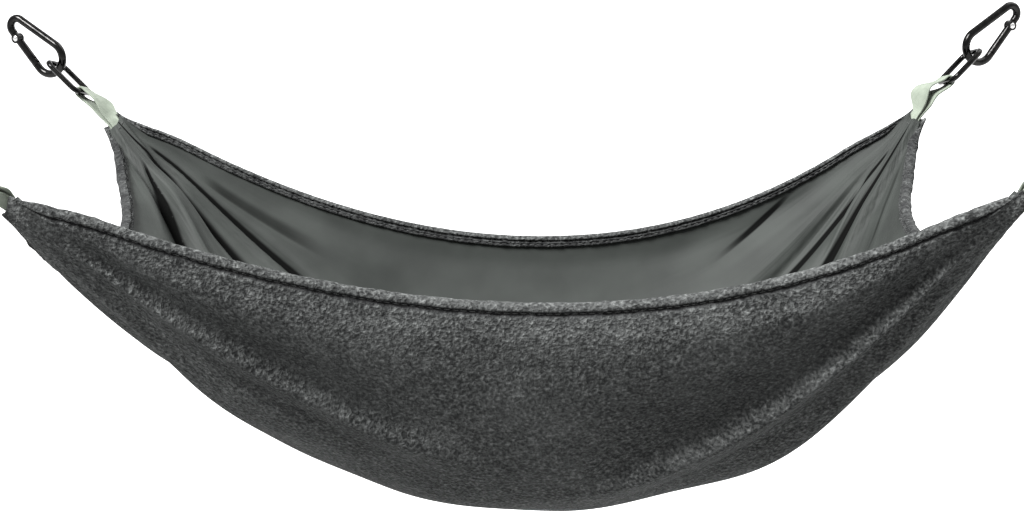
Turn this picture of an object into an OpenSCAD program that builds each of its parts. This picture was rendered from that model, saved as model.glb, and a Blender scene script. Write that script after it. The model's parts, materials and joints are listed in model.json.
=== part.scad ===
// Hanging fabric hammock for a small pet.
// A fleece sling with a smooth lining hangs from its four corners.
// Each corner has a sewn webbing loop, a steel link and a spring clip.
// Front is -Y, right is +X, up is +Z, and the lowest point of the sling is at Z = 0.

/* [Sling] */
// Distance between the left and right corner points of the hung sling
span_l = 540; // [480:1:620]
// Distance between the front and back corner points of the hung sling
span_w = 362; // [320:1:420]
// Drop of the front rim's middle below the corner points
front_rim_sag = 76; // [50:1:110]
// Drop of the back rim's middle below the corner points
back_rim_sag = 96; // [50:1:110]
// Drop of the middle of each short end below the corner points
end_sag = 73; // [50:1:100]
// How much further the middle of the sling hangs below its edges
bowl_sag = 57; // [30:1:90]
// How far the middle of a long rim is drawn inwards
rim_draw = 26; // [10:1:40]
// How far the middle of a short end is drawn inwards
end_draw = 40; // [20:1:60]
// How far the lowest point lies to the right of the middle
low_shift = 22; // [0:1:40]

/* [Fabric] */
// Thickness of the fleece outer panel
fleece_t = 2; // [1.5:0.1:3]
// Thickness of the lining
lining_t = 0.8; // [0.5:0.1:1.2]
// Width of the turned hem
hem_w = 7; // [5:0.5:10]
// Length cut off each edge at a corner, where the webbing comes out
corner_leg = 25; // [22:1:32]
// Height of the main gathers that run from the corners
gather_h = 3; // [0:0.5:9]

/* [Webbing] */
// Width of the webbing
web_w = 16; // [13:0.5:17]
// Thickness of the webbing
web_t = 1.5; // [1:0.1:2]
// Width of the webbing where it is gathered on the link
web_pinch_w = 13; // [10:0.5:14]
// Distance from the sling's corner to the link's lower bar
web_reach = 26; // [22:1:36]
// Length of webbing sewn in between the panels
tail_len = 20; // [14:1:24]

/* [Link] */
// Diameter of the link's wire
link_wire = 3.5; // [3:0.1:4.5]
// Width inside the link
link_in_w = 20; // [19:0.5:24]
// Length inside the link
link_in_l = 23; // [20:0.5:30]
// Radius of the link's corners, at the middle of the wire
link_corner_r = 4.5; // [4:0.1:5]

/* [Clip] */
// Length of the spring clip
clip_len = 50; // [46:1:60]
// Width of the clip's wide end
clip_w = 25; // [23:0.5:28]
// Width of the clip's narrow end
clip_tip_w = 15; // [14:0.5:17]
// Diameter of the clip's wire and gate
clip_wire = 5; // [4.5:0.1:5.5]
// Diameter of the rivet that the gate turns on
rivet_d = 2; // [1.6:0.1:2.2]
// Diameter of the bore for the gate's spring
spring_bore_d = 2.4; // [2.2:0.1:2.6]
// Depth of the bore for the gate's spring
spring_bore_l = 10.5; // [9:0.5:12]

/* [Pull] */
// Rise of the clips above the horizontal
pull_rise = 40; // [25:1:60]
// Turn of the clips outwards from the long direction
pull_turn = 25; // [10:1:40]
// Roll of the links about the pull direction
link_roll = -15; // [-25:1:0]

/* [Hidden] */
$fn = 48;

// Corners as signs along X and Y
FRONT_LEFT = [-1, -1];
FRONT_RIGHT = [1, -1];
BACK_LEFT = [-1, 1];
BACK_RIGHT = [1, 1];
CORNERS = [FRONT_LEFT, FRONT_RIGHT, BACK_LEFT, BACK_RIGHT];

// Clearances
layer_gap = 0.3;
flap_gap = 0.9;
pocket_gap = 0.7;
seat_gap = 0.3;
rivet_gap = 0.04;
slide_gap = 0.1;
plunger_gap = 0.05;
tongue_gap = 0.15;

// Form of the hanging curves
rim_power = 2.05;
end_power = 3.5;
bowl_power = 3.7;

// Main gathers at a corner: angle from the long rim, half angle, share of gather_h, reach
gathers = [
    [20, 11, 0.8, 250],
    [43, 11, 1.0, 270],
    [66, 11, 0.9, 210]];
gather_start = 28;
gather_full = 95;

// Panel meshing: points along each edge and rings from the middle to the hem
long_steps = 15;
short_steps = 11;
sheet_rings = [0.22, 0.44, 0.62, 0.78, 0.91];
hem_end = 0.15;
lining_inset = 1;
roll_out = 2.4;
roll_in = 0.5;

// Webbing sweep
tail_steps = 2;
leg_steps = 7;
bight_steps = 8;
slack_front = 2;
slack_left = 2;
slack_right = 7;

// Clip details
tongue_t = 2;
tongue_r = 3;
ear_r = 3.1;
cam_reach = 2.2;
nose_len = 4.6;
nose_h = 3.8;
stub_l = 2;
joint_lap = 0.5;
joint_step = 0.03;
catch_pin_d = 1.4;
catch_pin_in = 1.8;
gate_end_gap = 0.4;
rivet_head_d = 3.6;
rivet_head_h = 0.8;
plunger_head_l = 2.4;
plunger_stem_l = 3;
plunger_stem_d = 0.9;
spring_wire = 0.45;
spring_pitch = 1.4;
bore_wall = 1;
spring_sides = 6;
spring_rings = 8;

// Flat cut of the panels, from the span and the sag
cut_l = span_l + 8 / 3 * (pow((front_rim_sag + back_rim_sag) / 2, 2) + pow(rim_draw, 2)) / span_l;
cut_w = span_w + 8 / 3 * (pow(end_sag, 2) + pow(end_draw, 2)) / span_w;

// Plain vector helpers
function unit(v) = v / norm(v);
function lerp(a, b, t) = a + (b - a) * t;
function limit(x, low, high) = min(high, max(low, x));
function ease(x, from, to) = let (t = limit((x - from) / (to - from), 0, 1)) t * t * (3 - 2 * t);
function total(list) = [for (item = list) 1] * list;
function flip_to(v, along) = v * along < 0 ? -v : v;

// Hung surface at u along X and v along Y, both from -1 to 1, with the corner points at Z = 0
function drop(t, power) = 1 - pow(abs(t), power);
function skew(u) = u - low_shift / (span_l / 2) * (1 - u * u);
function rim_sag(v) = lerp(front_rim_sag, back_rim_sag, (v + 1) / 2);
function hung(u, v) = [
    u * (span_l / 2 - end_draw * drop(v, end_power)),
    v * (span_w / 2 - rim_draw * drop(u, 2)),
    -rim_sag(v) * drop(skew(u), rim_power)
        - (end_sag + bowl_sag * drop(skew(u), bowl_power)) * drop(v, end_power)];
function up(u, v, h = 0.004) =
    unit(cross(hung(u + h, v) - hung(u - h, v), hung(u, v + h) - hung(u, v - h)));

// Gathers bulge downwards and fan out from each corner of the flat cut
function bump(t) = abs(t) < 1 ? (1 + cos(180 * t)) / 2 : 0;
function gather_from(along, across) =
    let (reach = norm([along, across]), angle = atan2(across, along))
    total([for (g = gathers)
        g[2] * bump((angle - g[0]) / g[1])
            * ease(reach, gather_start, gather_full) * (1 - ease(reach, g[3] / 2, g[3]))]);
function gather(u, v) =
    -gather_h * total([for (c = CORNERS) gather_from((1 - c[0] * u) * cut_l / 2, (1 - c[1] * v) * cut_w / 2)]);

// A point of the fabric, lifted off the fleece's inner face
function cloth(u, v, lift = 0) = hung(u, v) + up(u, v) * (gather(u, v) + lift);

// Room between the panels at a corner for the two webbing tails
pocket_h = 2 * web_t + 3 * pocket_gap - layer_gap;
pocket_full = tail_len * 1.7;
pocket_end = pocket_full * 2.2;
function pocket(u, v) =
    let (along = (1 - abs(u)) * cut_l / 2, across = (1 - abs(v)) * cut_w / 2)
    let (depth = (along + across - corner_leg) / sqrt(2), side = abs(along - across) / sqrt(2))
    pocket_h * (1 - ease(depth, pocket_full, pocket_end)) * (1 - ease(side, corner_leg * 0.75, corner_leg * 1.9));

// Outline of the flat panel as [u, v, kind], going round from the front right corner
LONG_EDGE = 0;
SHORT_EDGE = 1;
MOUTH = 2;
leg_u = corner_leg / (cut_l / 2);
leg_v = corner_leg / (cut_w / 2);
function edge_points(steps, leg, half) =
    let (reach = 1 - leg - hem_end / half)
    [for (i = [0 : steps]) reach * (2 * i / steps - 1)];
outline = concat(
    [for (v = edge_points(short_steps, leg_v, cut_w / 2)) [1, v, SHORT_EDGE]],
    [[1, 1 - leg_v, MOUTH], [1 - leg_u, 1, MOUTH]],
    [for (u = edge_points(long_steps, leg_u, cut_l / 2)) [-u, 1, LONG_EDGE]],
    [[-1 + leg_u, 1, MOUTH], [-1, 1 - leg_v, MOUTH]],
    [for (v = edge_points(short_steps, leg_v, cut_w / 2)) [-1, -v, SHORT_EDGE]],
    [[-1, -1 + leg_v, MOUTH], [-1 + leg_u, -1, MOUTH]],
    [for (u = edge_points(long_steps, leg_u, cut_l / 2)) [u, -1, LONG_EDGE]],
    [[1 - leg_u, -1, MOUTH], [1, -1 + leg_v, MOUTH]]);
outline_n = len(outline);

// The outline drawn in by a width, and the outward direction at an edge
function inset(b, width) = [b[0] * (1 - width / (cut_l / 2)), b[1] * (1 - width / (cut_w / 2))];
function outward(b, h = 0.004) =
    b[2] == LONG_EDGE
        ? b[1] * unit(cross(up(b[0], b[1]), hung(b[0] + h, b[1]) - hung(b[0] - h, b[1])))
        : b[0] * unit(cross(hung(b[0], b[1] + h) - hung(b[0], b[1] - h), up(b[0], b[1])));

// Rings of points round the sling
function sheet_ring(s, lift, on_pocket) =
    [for (b = outline) cloth(s * b[0], s * b[1], lift + on_pocket * pocket(s * b[0], s * b[1]))];
function inset_ring(width, lift, on_pocket) =
    [for (b = outline) let (p = inset(b, width)) cloth(p[0], p[1], lift + on_pocket * pocket(p[0], p[1]))];

// One point of the turned hem, or of the fleece's bare end where the webbing comes out
function hem_point(b, width, out, lift, on_pocket, mouth_lift) =
    b[2] == MOUTH
        ? cloth(b[0], b[1], mouth_lift)
        : let (p = inset(b, width), q = pocket(p[0], p[1]))
            cloth(p[0], p[1], lift + on_pocket * q) + out * outward(b);
function hem_ring(width, out, lift, on_pocket, mouth_share) =
    [for (b = outline) hem_point(b, width, out, lift, on_pocket, -fleece_t * mouth_share)];

// Closed skin over rings that run from the bottom pole out to the rim and back to the top pole
function reversed(list) = [for (i = [len(list) - 1 : -1 : 0]) list[i]];
function skin_points(rings, bottom, top) = concat([bottom], [for (r = rings) each r], [top]);
function skin_faces(ring_n, point_n, turn_ring) = let (top = ring_n * point_n + 1) concat(
    [for (j = [0 : point_n - 1]) [0, 1 + j, 1 + (j + 1) % point_n]],
    [for (r = [0 : ring_n - 2], j = [0 : point_n - 1], half = [0, 1])
        let (k = (j + 1) % point_n)
        let (a = 1 + r * point_n + j, b = 1 + r * point_n + k)
        let (c = 1 + (r + 1) * point_n + k, d = 1 + (r + 1) * point_n + j)
        r < turn_ring ? (half == 0 ? [a, d, c] : [a, c, b]) : (half == 0 ? [a, d, b] : [d, c, b])],
    [for (j = [0 : point_n - 1])
        [top, 1 + (ring_n - 1) * point_n + (j + 1) % point_n, 1 + (ring_n - 1) * point_n + j]]);

// Fleece: outer face, turned hem, inner face
flap_under = layer_gap + lining_t + flap_gap;
flap_top = flap_under + fleece_t;
roll_mid = (flap_top - fleece_t) / 2;
fleece_rings = concat(
    [for (s = sheet_rings) sheet_ring(s, -fleece_t, 0)],
    [inset_ring(hem_w, -fleece_t, 0)],
    [hem_ring(0, 0, -fleece_t, 0, 1)],
    [hem_ring(0, roll_out, roll_mid, 0.5, 0.85)],
    [hem_ring(0, 0, flap_top, 1, 0.7)],
    [hem_ring(hem_w, 0, flap_top, 1, 0.5)],
    [hem_ring(hem_w, 0, flap_under, 1, 0.35)],
    [hem_ring(0, roll_in, flap_under, 1, 0.2)],
    [hem_ring(0, roll_in, 0, 0, 0)],
    [inset_ring(hem_w, 0, 0)],
    [for (s = reversed(sheet_rings)) sheet_ring(s, 0, 0)]);
fleece_points = skin_points(fleece_rings, cloth(0, 0, -fleece_t), cloth(0, 0, 0));

// Lining: lower face, edge inside the hem, upper face, cut back from the hem's ends at the corners
lining_low = layer_gap;
lining_high = layer_gap + lining_t;
function by_mouth(j) = max([for (k = [-1, 0, 1]) outline[(j + k + outline_n) % outline_n][2]]) == MOUTH;
function lining_edge(lift) = [for (j = [0 : outline_n - 1])
    let (p = inset(outline[j], by_mouth(j) ? hem_w - hem_end : lining_inset))
    cloth(p[0], p[1], lift + pocket(p[0], p[1]))];
lining_rings = concat(
    [for (s = sheet_rings) sheet_ring(s, lining_low, 1)],
    [inset_ring(hem_w, lining_low, 1)],
    [lining_edge(lining_low)],
    [lining_edge(lining_high)],
    [inset_ring(hem_w, lining_high, 1)],
    [for (s = reversed(sheet_rings)) sheet_ring(s, lining_high, 1)]);
lining_points = skin_points(lining_rings, cloth(0, 0, lining_low), cloth(0, 0, lining_high));

// Height of the corner points above the lowest point of the fleece
hang_h = -min([for (p = fleece_points) p[2]]);

// Pull direction and the two directions across it at a corner
function pull(c) = [c[0] * cos(pull_rise) * cos(pull_turn), c[1] * cos(pull_rise) * sin(pull_turn), sin(pull_rise)];
function beside(c) = [-c[0] * sin(pull_turn), c[1] * cos(pull_turn), 0];
function above(c) =
    [-c[0] * sin(pull_rise) * cos(pull_turn), -c[1] * sin(pull_rise) * sin(pull_turn), cos(pull_rise)];

// Ends of a corner's mouth, drawn in to a ring where s is below 1
function mouth_end(c, s) = cloth(c[0] * s, c[1] * (1 - leg_v) * s);
function mouth_side(c, s) = cloth(c[0] * (1 - leg_u) * s, c[1] * s);
function mouth_mid(c, s) = (mouth_end(c, s) + mouth_side(c, s)) / 2;
function mouth_up(c) = up(c[0] * (1 - leg_u / 2), c[1] * (1 - leg_v / 2));

// Middle of the link's lower bar, placed alike at all four corners
bar_base = total([for (c = CORNERS) let (m = mouth_mid(c, 1)) [abs(m[0]), abs(m[1]), m[2]]]) / len(CORNERS);
bar_at = bar_base + web_reach * pull(BACK_RIGHT);
function bar_point(c) = [c[0] * bar_at[0], c[1] * bar_at[1], bar_at[2]];
function bar_along(c) = beside(c) * cos(link_roll) + above(c) * sin(link_roll);

// Webbing loop as stations [middle, direction, across, width]
bight_r = (link_wire / 2 + seat_gap) / cos(90 / bight_steps) + web_t / 2;
tail_low = pocket_gap + web_t / 2;
tail_high = tail_low + pocket_gap + web_t;
function bight_up(c) = flip_to(cross(pull(c), bar_along(c)), mouth_up(c));
function slack(c) = (c[1] < 0 ? slack_front : c[0] < 0 ? slack_left : slack_right);
function curve(a, ta, b, tb, t) =
    let (d = norm(b - a), q = 1 - t)
    a * q * q * (1 + 2 * t) + b * t * t * (3 - 2 * t) + ta * d * t * q * q - tb * d * t * t * q;

function tail_station(c, depth, lift, way) =
    let (inner = sheet_rings[len(sheet_rings) - 1])
    let (m = mouth_mid(c, 1), n = mouth_mid(c, inner), share = depth / norm(n - m))
    let (wide = lerp(mouth_end(c, 1) - mouth_side(c, 1), mouth_end(c, inner) - mouth_side(c, inner), share))
    let (line = unit(n - m), square = unit(wide - (wide * line) * line))
    [lerp(m, n, share) + lift * mouth_up(c), way * line, flip_to(square, bar_along(c)), web_w];
function leg_station(c, lift, side, loose, t) =
    let (m = tail_station(c, 0, lift, -1), end = bar_point(c) + side * bight_r * bight_up(c))
    let (swell = loose * pow(sin(180 * t), 2) * bight_up(c), h = 0.02)
    let (way = unit(curve(m[0], m[1], end, pull(c), t + h) - curve(m[0], m[1], end, pull(c), t - h)))
    let (wide = lerp(m[2], bar_along(c), ease(t, 0, 1)))
    [curve(m[0], m[1], end, pull(c), t) + swell, -side * way, unit(wide - (wide * way) * way),
        lerp(web_w, web_pinch_w, ease(t, 0.2, 1))];
function bight_station(c, angle) =
    [bar_point(c) + bight_r * (cos(angle) * pull(c) + sin(angle) * bight_up(c)),
        cos(angle) * bight_up(c) - sin(angle) * pull(c), bar_along(c), web_pinch_w];
function loop_stations(c) = concat(
    [for (i = [tail_steps : -1 : 0]) tail_station(c, tail_len * i / tail_steps, tail_low, -1)],
    [for (i = [1 : leg_steps - 1]) leg_station(c, tail_low, -1, 0, i / leg_steps)],
    [for (i = [0 : bight_steps]) bight_station(c, 180 * i / bight_steps - 90)],
    [for (i = [leg_steps - 1 : -1 : 1]) leg_station(c, tail_high, 1, slack(c), i / leg_steps)],
    [for (i = [0 : tail_steps]) tail_station(c, tail_len * i / tail_steps, tail_high, 1)]);
function ribbon_section(s) =
    let (wide = s[2] * s[3] / 2, thick = unit(cross(s[2], s[1])) * web_t / 2)
    [s[0] + wide + thick, s[0] - wide + thick, s[0] - wide - thick, s[0] + wide - thick];

// Closed sweep over sections of the same number of points
function sweep_faces(section_n, point_n) = let (last = (section_n - 1) * point_n) concat(
    [for (j = [1 : point_n - 2]) [0, j + 1, j]],
    [for (i = [0 : section_n - 2], j = [0 : point_n - 1], half = [0, 1])
        let (k = (j + 1) % point_n, a = i * point_n, b = (i + 1) * point_n)
        j < point_n / 2
            ? (half == 0 ? [a + j, a + k, b + k] : [a + j, b + k, b + j])
            : (half == 0 ? [a + j, a + k, b + j] : [a + k, b + k, b + j])],
    [for (j = [1 : point_n - 2]) [last, last + j, last + j + 1]]);

// Clip geometry in its own plane: X from the wide end's wire to the narrow end, gate on the -Y side
wide_r = (clip_w - clip_wire) / 2;
tip_r = (clip_tip_w - clip_wire) / 2;
tip_x = clip_len - clip_wire - tip_r;
side_l = sqrt(pow(tip_x - wide_r, 2) - pow(wide_r - tip_r, 2));
side_tilt = asin((wide_r - tip_r) / (tip_x - wide_r));
side_d = clip_wire - 2 * joint_step;
ear_clear = ear_r + gate_end_gap + stub_l;
hinge = [tip_x + tip_r * sin(side_tilt) - ear_clear * cos(side_tilt),
    -tip_r * cos(side_tilt) - ear_clear * sin(side_tilt)];
nose_x = side_l - ear_clear - stub_l;
gate_l = nose_x - gate_end_gap;
slot_t = tongue_t + 2 * tongue_gap;
slot_x = tongue_r + seat_gap;
catch_x = gate_l - nose_len - seat_gap;
bore_end = min(slot_x + spring_bore_l, catch_x - bore_wall);
plunger_x = cam_reach + plunger_gap;
spring_x = plunger_x + plunger_head_l + plunger_gap;
spring_l = bore_end - spring_x - spring_wire - plunger_gap;
spring_turns = max(1, floor(spring_l / spring_pitch));
spring_r = (spring_bore_d - spring_wire) / 2 - slide_gap;
stem_l = min(plunger_stem_l, spring_l / 2);
clip_x = link_in_l + link_wire - link_wire / 2 - clip_wire / 2 - seat_gap;

// Spring wire as a helix along X
function spring_angle(i) = 360 * spring_turns * i / (spring_turns * spring_rings);
function spring_point(i) =
    [spring_x + spring_wire / 2 + spring_l * i / (spring_turns * spring_rings),
        spring_r * cos(spring_angle(i)), spring_r * sin(spring_angle(i))];
spring_path = [for (i = [0 : spring_turns * spring_rings]) spring_point(i)];
function spring_section(i) =
    let (outwards = [0, cos(spring_angle(i)), sin(spring_angle(i))])
    let (way = unit(spring_point(i + 0.5) - spring_point(i - 0.5)), side = unit(cross(way, outwards)))
    [for (j = [0 : spring_sides - 1])
        spring_point(i) + spring_wire / 2
            * (cos(360 * j / spring_sides) * outwards - sin(360 * j / spring_sides) * side)];
spring_least_gap = min([for (i = [0 : len(spring_path) - 1], k = [i + spring_rings / 2 + 1 : len(spring_path) - 1])
    norm(spring_path[i] - spring_path[k])]) - spring_wire;
echo(spring_least_gap = spring_least_gap);

module hang() {
    translate([0, 0, hang_h])
        children();
}

// Local frame of a corner: origin on the link's lower bar, X along the pull, Z up and inwards
module at_corner(c) {
    hang()
        mirror([c[0] < 0 ? 1 : 0, 0, 0])
            mirror([0, c[1] < 0 ? 1 : 0, 0])
                translate(bar_at)
                    rotate([0, -pull_rise, pull_turn])
                        children();
}

// Plane of the clip: X along the pull, gate on the -Y side
module clip_plane(c) {
    at_corner(c)
        translate([clip_x, 0, 0])
            rotate([90, 0, 0])
                children();
}

// Gate line: X from the rivet to the nose, Y outwards
module gate_line(c) {
    clip_plane(c)
        on_gate_line()
            children();
}

module on_gate_line() {
    translate([hinge[0], hinge[1], 0])
        rotate([0, 0, 180 + side_tilt])
            children();
}

module rod(d, l) {
    rotate([0, 90, 0])
        cylinder(d = d, h = l);
}

module wire_arc(r, d, from, sweep) {
    rotate([0, 0, from])
        rotate_extrude(angle = sweep)
            translate([r, 0])
                circle(d = d);
}

module outer_panel() {
    color("dimgray")
        hang()
            polyhedron(fleece_points, skin_faces(len(fleece_rings), outline_n, len(sheet_rings) + 1));
}

module inner_panel() {
    color("slategray")
        hang()
            polyhedron(lining_points, skin_faces(len(lining_rings), outline_n, len(sheet_rings) + 2));
}

module webbing_loop(c) {
    sections = [for (s = loop_stations(c)) ribbon_section(s)];
    color("darkseagreen")
        hang()
            polyhedron([for (s = sections) each s], sweep_faces(len(sections), 4));
}

// Rounded rectangular link of round wire
module link(c) {
    half_w = (link_in_w + link_wire) / 2;
    length = link_in_l + link_wire;
    bar = 2 * (half_w - link_corner_r);
    side = length - 2 * link_corner_r;
    color("dimgray")
        at_corner(c)
            rotate([link_roll, 0, 0]) {
                for (x = [0, length])
                    translate([x, bar / 2, 0])
                        rotate([90, 0, 0])
                            cylinder(d = link_wire, h = bar);
                for (y = [-half_w, half_w])
                    translate([link_corner_r, y, 0])
                        rod(link_wire, side);
                for (end = [0, 1], hand = [0, 1])
                    translate([end == 0 ? link_corner_r : length - link_corner_r, hand == 0 ? -bar / 2 : bar / 2, 0])
                        wire_arc(link_corner_r, link_wire, [[180, 90], [270, 0]][end][hand], 90);
            }
}

// Pear-shaped body: wide end, spine, narrow end, flat hinge tongue and hooked nose
module carabiner(c) {
    color("gray")
        clip_plane(c) {
            translate([wide_r, 0, 0])
                wide_end();
            translate([tip_x, 0, 0])
                wire_arc(tip_r, clip_wire, -90 + side_tilt, 180 - 2 * side_tilt);
            translate([wide_r + wide_r * sin(side_tilt), wide_r * cos(side_tilt), 0])
                rotate([0, 0, -side_tilt])
                    translate([-joint_lap, 0, 0])
                        rod(side_d, side_l + 2 * joint_lap);
            on_gate_line() {
                translate([-ear_clear - joint_lap, 0, 0])
                    rod(side_d, stub_l + joint_lap);
                translate([nose_x, 0, 0])
                    rod(side_d, stub_l + joint_lap);
                hinge_tongue();
                hooked_nose();
            }
        }
}

// More than half a ring of wire, open towards the narrow end
module wide_end() {
    far = 4 * clip_w;
    difference() {
        rotate_extrude()
            translate([wide_r, 0])
                circle(d = clip_wire);
        linear_extrude(2 * clip_wire, center = true)
            polygon([[0, 0], far * [sin(side_tilt), -cos(side_tilt)], [far, 0], far * [sin(side_tilt), cos(side_tilt)]]);
    }
}

module hinge_tongue() {
    difference() {
        union() {
            cylinder(r = tongue_r, h = tongue_t, center = true);
            translate([stub_l / 2 - ear_clear, -clip_wire * 0.4, -tongue_t / 2])
                cube([ear_clear - stub_l / 2, clip_wire * 0.8, tongue_t]);
        }
        translate([cam_reach, -tongue_r, -tongue_t])
            cube([tongue_r, 2 * tongue_r, 2 * tongue_t]);
        cylinder(d = rivet_d + 2 * rivet_gap, h = 2 * tongue_t, center = true);
    }
}

module hooked_nose() {
    pin_x = gate_l - catch_pin_in;
    pin_room = catch_pin_d / 2 + seat_gap;
    difference() {
        translate([nose_x - nose_len, -nose_h / 2, -tongue_t / 2])
            cube([nose_len + stub_l / 2, nose_h, tongue_t]);
        translate([pin_x, 0, 0])
            cylinder(r = pin_room, h = 2 * tongue_t, center = true);
        translate([pin_x - pin_room, -nose_h, -tongue_t])
            cube([2 * pin_room, nose_h, 2 * tongue_t]);
    }
}

// Round gate with a slotted hinge eye, a bore for its spring and a slotted nose with a catch pin
module gate(c) {
    color("gray")
        gate_line(c) {
            difference() {
                union() {
                    rod(clip_wire, gate_l);
                    cylinder(r = ear_r, h = clip_wire, center = true);
                }
                translate([-2 * ear_r, -2 * ear_r, -slot_t / 2])
                    cube([2 * ear_r + slot_x, 4 * ear_r, slot_t]);
                translate([catch_x, -clip_wire, -slot_t / 2])
                    cube([2 * nose_len, 2 * clip_wire, slot_t]);
                translate([slot_x - slot_t, 0, 0])
                    rod(spring_bore_d, bore_end - slot_x + slot_t);
                cylinder(d = rivet_d + 2 * rivet_gap, h = 2 * clip_wire, center = true);
            }
            translate([gate_l - catch_pin_in, 0, 0])
                cylinder(d = catch_pin_d, h = clip_wire * 0.8, center = true);
        }
}

// Rivet with a domed head on each side
module rivet(c) {
    head_z = clip_wire / 2 + slide_gap;
    head_r = rivet_head_d / 2;
    ball_r = (pow(head_r, 2) + pow(rivet_head_h, 2)) / (2 * rivet_head_h);
    color("silver")
        gate_line(c) {
            cylinder(d = rivet_d, h = 2 * head_z, center = true);
            for (side = [0, 1])
                mirror([0, 0, side])
                    translate([0, 0, head_z])
                        intersection() {
                            cylinder(r = head_r, h = rivet_head_h);
                            translate([0, 0, rivet_head_h - ball_r])
                                sphere(r = ball_r);
                        }
        }
}

module spring(c) {
    sections = [for (i = [0 : len(spring_path) - 1]) spring_section(i)];
    color("silver")
        gate_line(c)
            polyhedron([for (s = sections) each s], sweep_faces(len(sections), spring_sides));
}

// Push pin between the spring and the flat on the body's tongue
module plunger(c) {
    color("silver")
        gate_line(c)
            translate([plunger_x, 0, 0]) {
                rod(spring_bore_d - 2 * slide_gap, plunger_head_l);
                rod(plunger_stem_d, plunger_head_l + stem_l);
            }
}

outer_panel();
inner_panel();
webbing_loop(FRONT_LEFT);  // webbing_loop_front_left
webbing_loop(FRONT_RIGHT);  // webbing_loop_front_right
webbing_loop(BACK_LEFT);  // webbing_loop_back_left
webbing_loop(BACK_RIGHT);  // webbing_loop_back_right
link(FRONT_LEFT);  // link_front_left
link(FRONT_RIGHT);  // link_front_right
link(BACK_LEFT);  // link_back_left
link(BACK_RIGHT);  // link_back_right
carabiner(FRONT_LEFT);  // carabiner_front_left
carabiner(FRONT_RIGHT);  // carabiner_front_right
carabiner(BACK_LEFT);  // carabiner_back_left
carabiner(BACK_RIGHT);  // carabiner_back_right
gate(FRONT_LEFT);  // gate_front_left
gate(FRONT_RIGHT);  // gate_front_right
gate(BACK_LEFT);  // gate_back_left
gate(BACK_RIGHT);  // gate_back_right
rivet(FRONT_LEFT);  // rivet_front_left
rivet(FRONT_RIGHT);  // rivet_front_right
rivet(BACK_LEFT);  // rivet_back_left
rivet(BACK_RIGHT);  // rivet_back_right
spring(FRONT_LEFT);  // spring_front_left
spring(FRONT_RIGHT);  // spring_front_right
spring(BACK_LEFT);  // spring_back_left
spring(BACK_RIGHT);  // spring_back_right
plunger(FRONT_LEFT);  // plunger_front_left
plunger(FRONT_RIGHT);  // plunger_front_right
plunger(BACK_LEFT);  // plunger_back_left
plunger(BACK_RIGHT);  // plunger_back_right
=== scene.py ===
"""Looks of a hung fabric hammock: two sewn panels, webbing loops, thread and metal corner fittings."""
import json
import logging
import math
from dataclasses import dataclass, field
from enum import Enum
from typing import Any, Dict, List, NamedTuple, Optional, Sequence, Tuple, Union

import bpy
import numpy as np
from mathutils import Matrix, Vector


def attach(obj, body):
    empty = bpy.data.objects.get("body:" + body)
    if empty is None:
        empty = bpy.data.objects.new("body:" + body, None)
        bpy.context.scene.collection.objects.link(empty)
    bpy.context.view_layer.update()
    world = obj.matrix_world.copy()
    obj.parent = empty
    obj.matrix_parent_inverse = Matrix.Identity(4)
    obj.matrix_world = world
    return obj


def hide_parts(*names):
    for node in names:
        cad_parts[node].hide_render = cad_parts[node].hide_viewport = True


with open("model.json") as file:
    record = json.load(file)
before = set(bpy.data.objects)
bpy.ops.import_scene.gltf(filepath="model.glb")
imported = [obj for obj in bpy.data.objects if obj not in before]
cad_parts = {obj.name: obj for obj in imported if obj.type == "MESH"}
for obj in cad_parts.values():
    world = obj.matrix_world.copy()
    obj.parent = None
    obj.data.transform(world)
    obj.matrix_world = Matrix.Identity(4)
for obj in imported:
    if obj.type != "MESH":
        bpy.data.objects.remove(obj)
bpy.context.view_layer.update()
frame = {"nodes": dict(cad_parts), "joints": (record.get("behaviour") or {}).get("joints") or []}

LOG = logging.getLogger("hammock")
Array = np.ndarray
Colour = Tuple[float, float, float, float]
Place = Tuple[float, float, float]
Row = Tuple[Array, Array, Array]
SLING_BODY = "sling"


class Corner(Enum):
    """A corner of the sling, as its signs along X and Y."""

    FRONT_LEFT = (-1, -1)
    FRONT_RIGHT = (1, -1)
    BACK_LEFT = (-1, 1)
    BACK_RIGHT = (1, 1)

    @property
    def tag(self) -> str:
        """The corner's name as the part's nodes write it."""
        return self.name.lower()


def ease(x: Array, low: float, high: float) -> Array:
    """Smooth step.

    Args:
        x: Values to judge.
        low: Where the step leaves 0.
        high: Where the step reaches 1.

    Returns:
        Values from 0 to 1.
    """
    t = np.clip((np.asarray(x) - low) / (high - low), 0.0, 1.0)
    return t * t * (3.0 - 2.0 * t)


def bump(t: Array) -> Array:
    """A rounded hump of height 1 over -1 to 1."""
    return np.where(np.abs(t) < 1.0, 0.5 * (1.0 + np.cos(np.pi * np.clip(t, -1.0, 1.0))), 0.0)


def ripple(run: Array, waves: Sequence[float], seed: float) -> Array:
    """Uneven ripple of about unit height, made of sines of unlike lengths.

    Args:
        run: Distance along the ripple.
        waves: Wave lengths in the unit of run.
        seed: Shifts the sines, so that two ripples differ.

    Returns:
        The height at each place.
    """
    total = np.zeros_like(np.asarray(run, float))
    for k, wave in enumerate(waves):
        total = total + np.sin(2.0 * np.pi * run / wave + seed * (1.3 + 2.1 * k))
    return total / math.sqrt(len(waves))


def unit(v: Array) -> Array:
    """Vectors scaled to length 1."""
    return v / np.linalg.norm(v, axis=-1, keepdims=True)


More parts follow.
